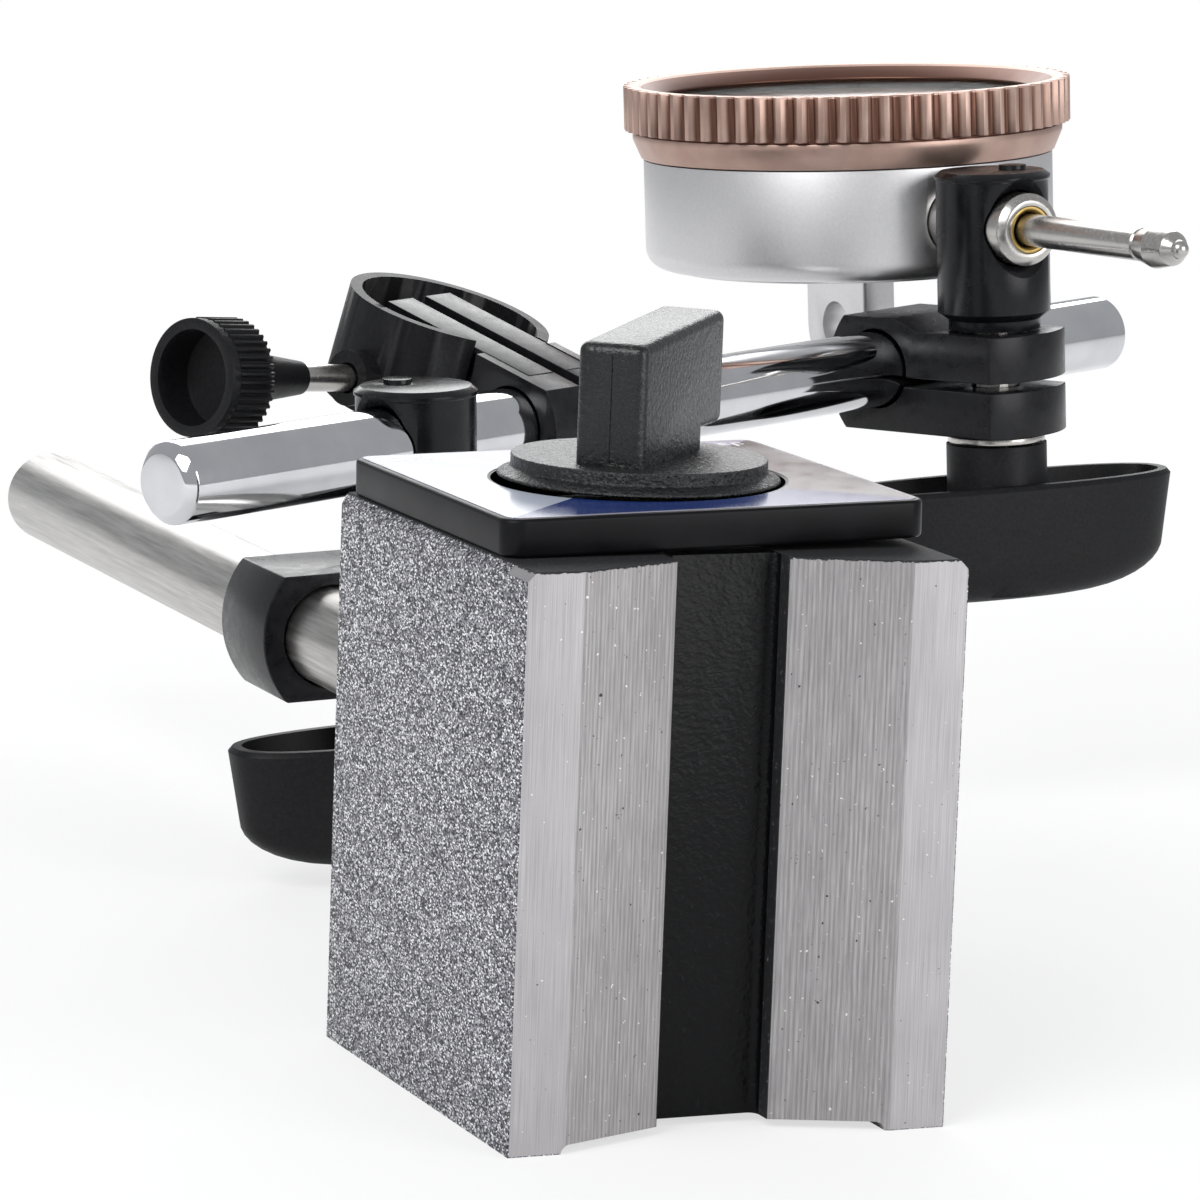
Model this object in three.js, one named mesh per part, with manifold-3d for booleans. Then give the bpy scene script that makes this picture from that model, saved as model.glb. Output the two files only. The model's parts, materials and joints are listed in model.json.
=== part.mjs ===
// Dial indicator on a jointed arm, carried by a switchable magnet block.
// Millimetres, +Z up. The block stands on its end: its ground V face looks towards -Y, its
// switch points up, and the post leaves its far face towards +Y. The origin is the centre of
// the end face that it stands on.

import * as THREE from 'three';
import { mergeVertices } from 'three/addons/utils/BufferGeometryUtils.js';
import Module from 'manifold-3d';

const wasm = await Module();
wasm.setup();

// Fits and facets that all pieces share
const overrun = 1;
const pressGap = 0.1;
const runningGap = 0.25;
const seatGap = 0.3;
const largeSides = 48;
const roundSides = 28;
const smallSides = 16;
const arcSteps = 4;
const ribRootShare = 0.5;
const ribStartShare = 0.72;
const ribEndShare = 1.28;
const boreSteps = 12;

// Magnet block: two ground steel poles with a spacer between them and a bore for the magnet
const blockWidth = 49;
const blockDepth = 54;
const blockHeight = 60;
const blockEdge = 0.8;
const landWidth = 6.2;
const stepDepth = 4.2;
const slopeFall = 2.5;
const channelWidth = 12.4;
const channelDepth = 10.4;
const rotorSetback = 29.7;
const rotorBoreRadius = 15.2;

// Magnet rotor on its shaft, and the two brass covers that carry the shaft
const rotorEndRoom = 5;
const rotorHoleRadius = 3;
const coverThickness = 2;
const coverRecess = 1.2;
const coverFloor = 0.9;
const shaftCollarRadius = 5;
const shaftCollarHeight = 1.2;

// Label plate round the switch
const plateHalfWidth = 23.6;
const plateDepth = 45.2;
const plateBack = 26.2;
const plateThickness = 4;
const plateCorner = 2.2;
const plateHoleRadius = 15.6;
const plateTilt = 1.15;

// Switch knob: a thin lip, a flange and a bar handle that overhangs as a pointer
const lipRadius = 15;
const lipThickness = 0.7;
const flangeRadius = 13.6;
const flangeThickness = 1.7;
const knobLift = 4.6;
const handleThickness = 7.6;
const handleNearReach = 9.8;
const handleFarReach = 15.5;
const handleNearHeight = 12.8;
const handleFarHeight = 14.3;
const handleUndercutReach = 9.3;
const handleUndercutRise = 2;
const handleEdge = 0.9;
const handleBearing = 43;
const knobSocketDepth = 6;

// Main post
const postRadius = 6;
const postLength = 181;
const postOffset = 1.9;
const postEdge = 1.3;
const spigotRadius = 4;
const spigotLength = 7;

// Pose of the arm, in degrees
const armTilt = 2.64;
const rodBearing = 23.4;
const headTilt = -1.67;
const stemBearing = -106.56;
const adjusterTilt = 16;
const drumTilt = 6.8;
const lowerWingBearing = 3;
const upperWingBearing = -23.5;

// Split clamps that grip the post and the rod
const clampThickness = 15.5;
const clampEdge = 0.6;
const clampSlot = 1.2;
const clampCornerReach = 5.5;
const clampCrownReach = 8;
const lowerClampPlace = 101;
const lowerClampHalfHeight = 7.7;
const lowerBoltOffset = 13.9;
const lowerBackReach = 8.9;
const lowerBackRadius = 11.7;
const upperClampPlace = 92.4;
const upperBoltOffset = 14.1;
const upperBodyTop = 6.8;
const upperEarTop = 5.2;
const upperClampBottom = -8.2;
const upperBackReach = 8.3;
const upperBackRadius = 11.4;
const upperHumpFoot = 7.2;
const upperHumpHead = 3.6;

// Swivel barrels with their cross holes, and the studs that pull them down
const barrelRadius = 7.4;
const barrelNeckRadius = 6;
const barrelNeckHeight = 1.3;
const barrelFootRise = 1;
const barrelHoleHeight = 13.5;
const barrelHeight = 20.7;
const barrelRimOut = 0.2;
const barrelRimHeight = 1.2;
const barrelDome = 0.6;
const funnelDepth = 1.4;
const nubRadius = 1.8;
const nubHeight = 0.5;
const nubOffset = 3.2;
const studRadius = 3;
const studDepth = 6.4;

// Wing knobs: a hollow moulded boat with a hub, two webs, a brass insert and a washer
const washerRadius = 6.4;
const washerThickness = 0.8;
const wingHalfLength = 25;
const wingHalfWidth = 8.3;
const wingHeight = 15.4;
const wingEndHeight = 9.2;
const wingDraft = 8;
const wingWall = 1.7;
const wingRimRound = 0.6;
const wingKeelHalfLength = 9;
const wingKeelHalfWidth = 3.4;
const wingRoundnessShare = 2.5;
const keelLengthShare = 0.9;
const keelWidthShare = 0.75;
const wingSides = 32;
const wingHubRadius = 6.6;
const wingHubRise = 5;
const wingFloor = 2.4;
const wingWebThickness = 1.6;
const wingWebDrop = 1.5;
const insertRadius = 4.4;
const insertLength = 9;

// Chrome rod
const rodRadius = 5;
const rodLength = 173.5;
const rodTail = 41.5;
const rodEdge = 1.2;

// Fine adjuster: a slotted bar bored on the rod, its tip held in a drum with a thumb screw
const adjusterPlace = 23.2;
const adjusterHubWidth = 14;
const adjusterBarWidth = 11;
const adjusterSlot = 2.2;
const adjusterSlotFloor = 1.6;
const adjusterTop = 6.8;
const adjusterFrontFlat = 4.6;
const adjusterFrontReach = 8;
const adjusterHubBack = 8;
const adjusterBarReach = 25.9;
const adjusterBarBottom = -3.4;
const adjusterEdge = 0.5;
const drumInset = 4.9;
const drumRadius = 13;
const drumWall = 1.5;
const drumTop = 7;
const drumFloorTop = -5;
const drumFloor = 1.6;
const drumEdge = 0.5;
const drumNotchGap = 0.9;
const drumBossRadius = 3.5;
const drumBossReach = 2.2;
const drumScrewHeight = -2.4;
const drumRivetRadius = 1.5;
const drumRivetDepth = 2.2;
const drumRivetPlay = 0.6;
const thumbScrewRadius = 1.7;
const thumbScrewTipGap = 0.5;
const thumbKnobPlace = 23.8;
const thumbKnobLength = 18.4;
const thumbKnobRadius = 7.4;
const thumbKnobRimLength = 7;
const thumbKnobNeckRadius = 2.6;
const thumbKnobWall = 1.5;
const thumbKnobCupDepth = 5;
const thumbKnobFlutes = 20;
const thumbKnobFluteDepth = 0.6;

// Indicator, measured from the top of its bezel, with its stem towards local +X
const barrelToCase = 0.5;
const stemDepth = 17.2;
const stemRadius = 4.75;
const stemTip = 44.6;
const stemBoreRadius = 2.3;
const caseRadius = 27.7;
const caseTop = -10;
const caseBottom = -24.8;
const caseWall = 1.8;
const caseCorner = 2.8;
const caseSeatDepth = 1.8;
const collarStep = 1.6;
const collarTop = -6.7;
const backCoverInset = 4.1;
const backCoverProud = 0.4;
const lugWidth = 14.8;
const lugThickness = 5;
const lugHoleRadius = 3.25;
const lugHoleDepth = 33.3;

// Knurled bezel with its crystal
const bezelOut = 2.5;
const bezelFlutes = 66;
const bezelFluteDepth = 0.9;
const bezelBand = 6;
const bezelLipOut = 0.2;
const bezelLipTop = -6.6;
const bezelLipFootOut = 0.3;
const bezelFoot = -9.8;
const bezelPlay = 0.3;
const bezelOpeningIn = 0.5;
const bezelFlatOut = 2.2;
const bezelBevelDepth = 1.7;
const crystalTop = -2;
const crystalThickness = 1.4;
const crystalOut = 0.9;

// Movement: a rack on the spindle turns an arbor once for 10 mm, and its gear turns the centre
// arbor ten times as fast
const arborRadius = 0.6;
const gearToCase = 3.1;
const rackPitch = 0.625;
const rackTeeth = 21;
const rackTeethBehind = 2;
const rackPinionTeeth = 16;
const rackPinionLength = 2.4;
const driveGearTeeth = 100;
const driveGearThickness = 0.6;
const driveGearRise = 0.4;
const centrePinionTeeth = 10;
const centrePinionLength = 1;
const toothTipShare = 0.09;
const toothRootShare = 0.33;
const rackPitchLine = 1.6;

// Dial, hands and spindle
const dialTop = -5.8;
const dialThickness = 0.5;
const dialSplitShare = 0.65;
const dialSplitGap = 0.3;
const pointerReachShare = 0.84;
const pointerTail = 7;
const pointerHalfWidth = 1;
const pointerTipHalfWidth = 0.2;
const pointerThickness = 0.3;
const pointerLift = 0.85;
const pointerHubRadius = 1.8;
const pointerHubHeight = 0.9;
const smallHandLift = 0.2;
const smallHandReach = 4.6;
const smallHandTail = 2;
const smallHandHalfWidth = 0.6;
const smallHandHubRadius = 1;
const smallHandHubHeight = 0.5;
const smallHandCap = 0.2;
const bridgeTop = -13.4;
const bridgeThickness = 1.2;
const bridgeShare = 0.69;
const pillarRadius = 1.5;
const spindleRadius = 2.1;
const spindleTail = 12;
const spindleTip = 70.2;
const spindleEdge = 0.4;
const contactTip = 79;
const contactRadius = 2.75;
const contactNeckRadius = 2.15;
const contactBallRadius = 1.2;
const contactFlare = 3;

// Shapes as closed solids

// Gives a geometry merged corners, no sliver of zero area and faces that look outwards.
function closed(geometry) {
  const bare = geometry.index ? geometry.toNonIndexed() : geometry.clone();
  for (const name of Object.keys(bare.attributes)) {
    if (name !== 'position') bare.deleteAttribute(name);
  }
  const merged = mergeVertices(bare, 1e-4);
  const place = merged.attributes.position;
  const index = Array.from(merged.index.array);
  const kept = [];
  for (let i = 0; i < index.length; i += 3) {
    const [a, b, c] = index.slice(i, i + 3);
    if (a !== b && b !== c && c !== a) kept.push(a, b, c);
  }
  const corner = (i) => new THREE.Vector3().fromBufferAttribute(place, i);
  let volume = 0;
  for (let i = 0; i < kept.length; i += 3) {
    const [p, q, r] = [corner(kept[i]), corner(kept[i + 1]), corner(kept[i + 2])];
    volume += p.dot(q.cross(r));
  }
  if (volume < 0) kept.reverse();
  merged.setIndex(kept);
  return merged;
}

function toSolid(geometry) {
  const shell = closed(geometry);
  const vertProperties = new Float32Array(shell.attributes.position.array);
  const triVerts = new Uint32Array(shell.index.array);
  return new wasm.Manifold(new wasm.Mesh({ numProp: 3, vertProperties, triVerts }));
}

function toGeometry(solid) {
  const mesh = solid.getMesh();
  const geometry = new THREE.BufferGeometry();
  geometry.setAttribute('position', new THREE.BufferAttribute(new Float32Array(mesh.vertProperties), 3));
  geometry.setIndex(Array.from(mesh.triVerts));
  return geometry;
}

function cut(body, ...tools) {
  return toGeometry(tools.reduce((left, tool) => left.subtract(toSolid(tool)), toSolid(body)));
}

function join(...bodies) {
  return toGeometry(bodies.map(toSolid).reduce((all, body) => all.add(body)));
}

function common(first, second) {
  return toGeometry(toSolid(first).intersect(toSolid(second)));
}

// A profile of [radius, height] turned about Z.
function turned(profile, sides = roundSides) {
  const points = profile.map(([radius, height]) => new THREE.Vector2(radius, height));
  return closed(new THREE.LatheGeometry(points, sides).rotateX(Math.PI / 2));
}

function pin(radius, from, to, sides = smallSides) {
  return turned([[0, from], [radius, from], [radius, to], [0, to]], sides);
}

function bevelledPin(radius, from, to, edge, sides = roundSides) {
  const profile = [[0, from], [radius - edge, from], [radius, from + edge]];
  profile.push([radius, to - edge], [radius - edge, to], [0, to]);
  return turned(profile, sides);
}

// An outline in XY raised along Z from a height, with an optional bevel on both ends.
function raised(shape, from, height, edge = 0, steps = arcSteps) {
  const bevel = {
    bevelEnabled: edge > 0, bevelThickness: edge, bevelSize: edge, bevelOffset: -edge, bevelSegments: 1,
  };
  const settings = { depth: height - 2 * edge, curveSegments: steps, ...bevel };
  return closed(new THREE.ExtrudeGeometry(shape, settings).translate(0, 0, from + edge));
}

function block(lowX, highX, lowY, highY, lowZ, highZ) {
  const box = new THREE.BoxGeometry(highX - lowX, highY - lowY, highZ - lowZ);
  return box.translate((lowX + highX) / 2, (lowY + highY) / 2, (lowZ + highZ) / 2);
}

// Outline of a fluted grip: flat-topped ribs with V-shaped grooves between them.
function fluted(tipRadius, rootRadius, count) {
  const rib = [[ribRootShare, rootRadius], [ribStartShare, tipRadius], [ribEndShare, tipRadius]];
  const points = Array.from({ length: count }, (_, flute) => rib.map(([turnShare, radius]) => {
    const angle = (2 * Math.PI * (flute + turnShare)) / count;
    return new THREE.Vector2(radius * Math.cos(angle), radius * Math.sin(angle));
  }));
  return new THREE.Shape(points.flat());
}

// Joins rings of points into one closed skin, with a centre point at each end.
function lofted(rings) {
  const count = rings[0].length;
  const points = rings.flat();
  const faces = [];
  for (let ring = 0; ring + 1 < rings.length; ring += 1) {
    for (let side = 0; side < count; side += 1) {
      const next = (side + 1) % count;
      const [a, b] = [ring * count + side, ring * count + next];
      faces.push(a, b, b + count, a, b + count, a + count);
    }
  }
  const centre = (ring) => ring.reduce((sum, point) => sum.add(point), new THREE.Vector3())
    .divideScalar(count);
  const last = (rings.length - 1) * count;
  const foot = points.push(centre(rings[0])) - 1;
  const head = points.push(centre(rings[rings.length - 1])) - 1;
  for (let side = 0; side < count; side += 1) {
    const next = (side + 1) % count;
    faces.push(next, side, foot, last + side, last + next, head);
  }
  const geometry = new THREE.BufferGeometry().setFromPoints(points);
  geometry.setIndex(faces);
  return closed(geometry);
}

const alongX = (geometry) => geometry.rotateY(Math.PI / 2);
const alongY = (geometry) => geometry.rotateX(-Math.PI / 2);
const degrees = THREE.MathUtils.degToRad;

// Finishes as real surfaces
const finish = (color, metalness, roughness, more = {}) => new THREE.MeshStandardMaterial({
  color, metalness, roughness, ...more,
});
const groundSteel = () => finish('#b9b9ba', 0.9, 0.4);
const spacerPaint = () => finish('#1b1d20', 0.1, 0.55);
const castBlack = () => finish('#2b2c2f', 0.3, 0.5);
const mouldedBlack = () => finish('#2a2b2d', 0, 0.45);
const glossBlack = () => finish('#1d1f22', 0.2, 0.25);
const satinSteel = () => finish('#c4c3c1', 0.95, 0.35);
const chromed = () => finish('#d6d8dc', 1, 0.1);
const brassy = () => finish('#b4904c', 0.9, 0.35);
const silverCase = () => finish('#bfbfbd', 0.9, 0.4);
const bronzeBezel = () => finish('#a9836f', 0.8, 0.4);
const whiteDial = () => finish('#ececea', 0, 0.6);
const clearCrystal = () => finish('#dfe6ea', 0, 0.05, { transparent: true, opacity: 0.3 });
const ferrite = () => finish('#3a3a3c', 0.2, 0.7);

const assembly = new THREE.Group();

function node(name, geometry, material, parent = assembly) {
  const mesh = new THREE.Mesh(geometry, material);
  mesh.name = name;
  parent.add(mesh);
  return mesh;
}

function frameOn(parent, x, y, z) {
  const group = new THREE.Group();
  group.position.set(x, y, z);
  parent.add(group);
  return group;
}

// Magnet block
const blockFront = -blockDepth / 2;
const blockBack = blockDepth / 2;
const blockSide = blockWidth / 2;
const poleInner = channelWidth / 2;
const rotorY = blockFront + rotorSetback;
const postHeight = blockHeight / 2 + postOffset;
const boreReach = Math.sqrt(rotorBoreRadius ** 2 - poleInner ** 2);
const boreAngle = Math.atan2(boreReach, poleInner);

function pole() {
  const land = blockSide - landWidth;
  const shape = new THREE.Shape();
  shape.moveTo(poleInner, blockFront + stepDepth + slopeFall);
  shape.lineTo(land, blockFront + stepDepth);
  shape.lineTo(land, blockFront);
  shape.lineTo(blockSide, blockFront);
  shape.lineTo(blockSide, blockBack - blockEdge);
  shape.lineTo(blockSide - blockEdge, blockBack);
  shape.lineTo(poleInner, blockBack);
  shape.absarc(0, rotorY, rotorBoreRadius, boreAngle, -boreAngle, true);
  return raised(shape, 0, blockHeight, blockEdge, boreSteps);
}

function frontSeparator() {
  const shape = new THREE.Shape();
  shape.moveTo(-poleInner, blockFront + channelDepth);
  shape.lineTo(poleInner, blockFront + channelDepth);
  shape.absarc(0, rotorY, rotorBoreRadius, -boreAngle, boreAngle - Math.PI, true);
  return raised(shape, 0, blockHeight);
}

function backSeparator() {
  const shape = new THREE.Shape();
  shape.moveTo(poleInner, blockBack);
  shape.lineTo(-poleInner, blockBack);
  shape.absarc(0, rotorY, rotorBoreRadius, Math.PI - boreAngle, boreAngle, true);
  const hole = alongY(pin(spigotRadius + pressGap, -spigotLength - seatGap, overrun));
  return cut(raised(shape, 0, blockHeight), hole.translate(0, blockBack, postHeight));
}

node('pole_right', pole(), groundSteel());
node('pole_left', closed(pole().scale(-1, 1, 1)), groundSteel());
node('separator_front', frontSeparator(), spacerPaint());
node('separator_back', backSeparator(), spacerPaint());

// Brass covers: the lower one is flush with the end face and blind, and the shaft passes the upper
function boreCover(foot, holeFoot) {
  const disc = pin(rotorBoreRadius - pressGap, foot, foot + coverThickness, roundSides);
  const hole = pin(rotorHoleRadius + runningGap, holeFoot, foot + coverThickness + overrun);
  return cut(disc, hole).translate(0, rotorY, 0);
}

const upperCoverFoot = blockHeight - coverRecess - coverThickness;
node('bore_cover_lower', boreCover(0, coverFloor), brassy());
node('bore_cover_upper', boreCover(upperCoverFoot, upperCoverFoot - overrun), brassy());

// Label plate, lifted a little at its right side
const plateLeft = new THREE.Group();
plateLeft.position.set(-plateHalfWidth, 0, blockHeight);
plateLeft.rotation.y = -degrees(plateTilt);
assembly.add(plateLeft);

function labelPlate() {
  const [width, front] = [2 * plateHalfWidth, plateBack - plateDepth];
  const r = plateCorner;
  const shape = new THREE.Shape();
  shape.absarc(width - r, plateBack - r, r, 0, Math.PI / 2, false);
  shape.absarc(r, plateBack - r, r, Math.PI / 2, Math.PI, false);
  shape.absarc(r, front + r, r, Math.PI, 1.5 * Math.PI, false);
  shape.absarc(width - r, front + r, r, 1.5 * Math.PI, 2 * Math.PI, false);
  const plate = raised(shape, 0, plateThickness, r / arcSteps);
  const hole = pin(plateHoleRadius, -overrun, plateThickness + overrun, roundSides);
  return cut(plate, hole.translate(plateHalfWidth, rotorY, 0));
}

node('label_plate', labelPlate(), glossBlack(), plateLeft);

// Switch: rotor, shaft and knob turn together
const switchFrame = frameOn(assembly, 0, rotorY, 0);
const lipFoot = blockHeight + knobLift;
const flangeFoot = lipFoot + lipThickness;
const flangeTop = flangeFoot + flangeThickness;
const rotorFoot = rotorEndRoom;
const rotorHead = blockHeight - rotorEndRoom;
const rotorBody = pin(rotorBoreRadius - runningGap, rotorFoot, rotorHead, roundSides);
const rotorHole = pin(rotorHoleRadius + pressGap, rotorFoot - overrun, rotorHead + overrun);
node('magnet_rotor', cut(rotorBody, rotorHole), ferrite(), switchFrame);

const collarFoot = rotorHead + pressGap;
const collarHead = collarFoot + shaftCollarHeight;
const shaftTop = flangeFoot + knobSocketDepth - seatGap;
node('rotor_shaft', turned([
  [0, coverRecess], [rotorHoleRadius, coverRecess], [rotorHoleRadius, collarFoot],
  [shaftCollarRadius, collarFoot], [shaftCollarRadius, collarHead], [rotorHoleRadius, collarHead],
  [rotorHoleRadius, shaftTop], [0, shaftTop],
], smallSides), satinSteel(), switchFrame);

function switchKnob() {
  const disc = turned([
    [0, lipFoot], [lipRadius, lipFoot], [lipRadius, lipFoot + lipThickness / 2],
    [flangeRadius + lipThickness, flangeFoot], [flangeRadius, flangeFoot + lipThickness / 2],
    [flangeRadius, flangeTop - lipThickness], [flangeRadius - lipThickness, flangeTop], [0, flangeTop],
  ]);
  const side = new THREE.Shape();
  side.moveTo(-handleNearReach, -flangeThickness);
  side.lineTo(handleUndercutReach, -flangeThickness);
  side.lineTo(handleUndercutReach, handleUndercutRise);
  side.lineTo(handleFarReach, handleUndercutRise);
  side.lineTo(handleFarReach, handleFarHeight);
  side.lineTo(-handleNearReach, handleNearHeight);
  const bar = raised(side, -handleThickness / 2, handleThickness, handleEdge).rotateX(Math.PI / 2);
  const bearing = Math.PI / 2 - degrees(handleBearing);
  const handle = bar.translate(0, 0, flangeTop).rotateZ(bearing);
  const socket = pin(rotorHoleRadius + pressGap, lipFoot - overrun, flangeFoot + knobSocketDepth);
  return cut(join(disc, handle), socket);
}

node('switch_knob', switchKnob(), mouldedBlack(), switchFrame);

// Main post, screwed into the back of the block
function mainPost() {
  return alongY(turned([
    [0, -spigotLength], [spigotRadius - pressGap, -spigotLength], [spigotRadius - pressGap, 0],
    [postRadius, 0], [postRadius, postLength - postEdge], [postRadius - postEdge, postLength],
    [0, postLength],
  ]));
}

const armFrame = frameOn(assembly, 0, 0, postHeight);
armFrame.rotation.y = -degrees(armTilt);
node('main_post', mainPost().translate(0, blockBack, postHeight), satinSteel());

// Split clamp with its gripped bar along local X and its bolt towards local -Y
function splitClamp({ bore, boltAt, bodyTop, earTop, bottom, backReach, backRadius, humpFoot, humpHead }) {
  const middle = (bodyTop + bottom) / 2;
  const half = (bodyTop - bottom) / 2;
  const earEnd = boltAt + clampCrownReach;
  const sweep = Math.asin(half / backRadius);
  const side = new THREE.Shape();
  side.moveTo(earEnd, bottom);
  side.lineTo(earEnd, earTop);
  if (humpFoot) {
    side.lineTo(humpFoot, earTop);
    side.lineTo(humpHead, bodyTop);
  }
  side.absarc(backRadius - backReach, middle, backRadius, Math.PI - sweep, Math.PI + sweep, false);
  const turn = new THREE.Matrix4().makeBasis(
    new THREE.Vector3(0, -1, 0), new THREE.Vector3(0, 0, 1), new THREE.Vector3(-1, 0, 0));
  const body = raised(side, -clampThickness / 2, clampThickness, clampEdge).applyMatrix4(turn);
  const bulge = clampCrownReach - clampCornerReach;
  const bulgeRadius = (clampThickness ** 2 / 4 + bulge ** 2) / (2 * bulge);
  const bulgeSweep = Math.asin(clampThickness / 2 / bulgeRadius);
  const plan = new THREE.Shape();
  plan.moveTo(clampThickness / 2, backReach + overrun);
  plan.lineTo(-clampThickness / 2, backReach + overrun);
  plan.absarc(0, bulgeRadius - earEnd, bulgeRadius, -Math.PI / 2 - bulgeSweep, -Math.PI / 2 + bulgeSweep, false);
  const mould = raised(plan, bottom - overrun, bodyTop - bottom + 2 * overrun);
  const slotMiddle = (earTop + bottom) / 2;
  const reach = clampThickness / 2 + overrun;
  const slot = block(-reach, reach, -earEnd - overrun, 0, slotMiddle - clampSlot / 2, slotMiddle + clampSlot / 2);
  const barHole = alongX(pin(bore + runningGap, -reach, reach, roundSides));
  const boltHole = pin(studRadius + runningGap, bottom - overrun, bodyTop + overrun).translate(0, -boltAt, 0);
  return cut(common(body, mould), barHole, slot, boltHole);
}

const lowerClampFrame = frameOn(armFrame, 0, lowerClampPlace, 0);
const lowerClamp = node('post_clamp', splitClamp({
  bore: postRadius,
  boltAt: lowerBoltOffset,
  bodyTop: lowerClampHalfHeight,
  earTop: lowerClampHalfHeight,
  bottom: -lowerClampHalfHeight,
  backReach: lowerBackReach,
  backRadius: lowerBackRadius,
}), castBlack(), lowerClampFrame);
lowerClamp.rotation.z = Math.PI / 2;

// Swivel barrel with its cross hole along local X; zero height is the face that it stands on
function swivelBarrel(holeRadius) {
  const outline = turned([
    [0, 0], [barrelNeckRadius, 0], [barrelNeckRadius, barrelNeckHeight],
    [barrelRadius, barrelNeckHeight + barrelFootRise], [barrelRadius, barrelHeight - barrelRimHeight],
    [barrelRadius + barrelRimOut, barrelHeight - barrelRimHeight + barrelRimOut],
    [barrelRadius + barrelRimOut, barrelHeight - barrelDome],
    [barrelRadius - barrelDome, barrelHeight], [0, barrelHeight],
  ]);
  const nub = pin(nubRadius, barrelHeight - overrun, barrelHeight + nubHeight);
  const reach = barrelRadius + overrun;
  const hole = alongX(pin(holeRadius + runningGap, -reach, reach, roundSides)).translate(0, 0, barrelHoleHeight);
  const mouth = turned([
    [0, barrelRadius - funnelDepth], [holeRadius + runningGap, barrelRadius - funnelDepth],
    [holeRadius + runningGap + funnelDepth + overrun, barrelRadius + overrun], [0, barrelRadius + overrun],
  ]);
  const farMouth = alongX(mouth.clone()).translate(0, 0, barrelHoleHeight);
  const nearMouth = alongX(mouth.clone()).rotateZ(Math.PI).translate(0, 0, barrelHoleHeight);
  const studHole = pin(studRadius + pressGap, -overrun, studDepth + seatGap);
  return cut(join(outline, nub.translate(0, nubOffset, 0)), hole, farMouth, nearMouth, studHole);
}

// A washer, wing knob and insert hang below a clamp; the stud runs from the barrel into them
const hubTopDrop = washerThickness + 2 * seatGap;

function stud(seat, clampBottom) {
  const foot = clampBottom - hubTopDrop - insertLength + seatGap;
  return bevelledPin(studRadius, foot, seat + studDepth, seatGap, smallSides);
}

// Plan of the wing knob: a rounded boat, a little blunter than an ellipse
function boatRing(halfLength, halfWidth, height) {
  const power = 2 / wingRoundnessShare;
  const bend = (value) => Math.sign(value) * Math.abs(value) ** power;
  return Array.from({ length: wingSides }, (_, side) => {
    const angle = (2 * Math.PI * side) / wingSides;
    return new THREE.Vector3(halfLength * bend(Math.cos(angle)), halfWidth * bend(Math.sin(angle)), height);
  });
}

// Heights count from the rim, which faces up; the keel below is an arc between the end walls.
function wingKnob() {
  const draft = Math.tan(degrees(wingDraft));
  const keelRise = wingHeight - wingEndHeight;
  const endLength = wingHalfLength - wingEndHeight * draft;
  const endWidth = wingHalfWidth - wingEndHeight * draft;
  const outer = [];
  for (let step = 0; step <= arcSteps; step += 1) {
    const share = step / arcSteps;
    const swell = Math.sin(share * Math.PI / 2);
    const lift = 1 - Math.cos(share * Math.PI / 2);
    const length = wingKeelHalfLength + (endLength - wingKeelHalfLength) * swell ** keelLengthShare;
    const width = wingKeelHalfWidth + (endWidth - wingKeelHalfWidth) * swell ** keelWidthShare;
    outer.push(boatRing(length, width, -wingHeight + keelRise * lift));
  }
  outer.push(boatRing(wingHalfLength - wingRimRound * draft, wingHalfWidth - wingRimRound * draft, -wingRimRound));
  outer.push(boatRing(wingHalfLength - wingRimRound, wingHalfWidth - wingRimRound, 0));
  const [innerLength, innerWidth] = [wingHalfLength - wingWall, wingHalfWidth - wingWall];
  const cavity = [boatRing(innerLength, innerWidth, 0)];
  cavity.push(boatRing(innerLength - wingEndHeight * draft, innerWidth - wingEndHeight * draft, -wingEndHeight));
  const floor = wingHeight - wingFloor;
  const floorShare = wingFloor / wingEndHeight;
  cavity.push(boatRing(endLength * (1 - floorShare), wingKeelHalfWidth, -floor));
  const shell = lofted([...outer, ...cavity]);
  const rise = pin(wingHubRadius, -floor - wingWall, wingHubRise, roundSides);
  const web = block(-endLength, endLength, -wingWebThickness / 2, wingWebThickness / 2, -floor, -wingWebDrop);
  const trimmed = common(web, lofted(outer));
  const hole = pin(insertRadius + pressGap, wingHubRise - insertLength - seatGap, wingHubRise + overrun);
  return cut(join(shell, rise, trimmed), hole);
}

function washer() {
  const disc = pin(washerRadius, 0, washerThickness, roundSides);
  return cut(disc, pin(studRadius + runningGap, -overrun, washerThickness + overrun));
}

function knobInsert() {
  const sleeve = pin(insertRadius, -insertLength, 0);
  return cut(sleeve, pin(studRadius + runningGap, -insertLength - overrun, overrun));
}

function addSwivel(level, frame, seat, clampBottom, holeRadius, bearing) {
  const swivel = frameOn(frame, 0, 0, 0);
  swivel.rotation.z = degrees(bearing);
  node(`${level}_barrel`, swivelBarrel(holeRadius).translate(0, 0, seat), glossBlack(), swivel);
  node(`${level}_stud`, stud(seat, clampBottom), satinSteel(), swivel);
}

function addWing(level, frame, clampBottom, bearing) {
  const hubTop = clampBottom - hubTopDrop;
  const wing = frameOn(frame, 0, 0, 0);
  wing.rotation.z = degrees(bearing);
  const washerFoot = clampBottom - seatGap - washerThickness;
  node(`${level}_washer`, washer().translate(0, 0, washerFoot), satinSteel(), frame);
  node(`${level}_wing_knob`, wingKnob().translate(0, 0, hubTop - wingHubRise), mouldedBlack(), wing);
  node(`${level}_knob_insert`, knobInsert().translate(0, 0, hubTop), brassy(), wing);
}

const lowerSeat = lowerClampHalfHeight + seatGap;
const rodHeight = lowerSeat + barrelHoleHeight;
const lowerBolt = frameOn(lowerClampFrame, lowerBoltOffset, 0, 0);
addSwivel('lower', lowerBolt, lowerSeat, -lowerClampHalfHeight, rodRadius, rodBearing);
addWing('lower', lowerBolt, -lowerClampHalfHeight, lowerWingBearing);

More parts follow.
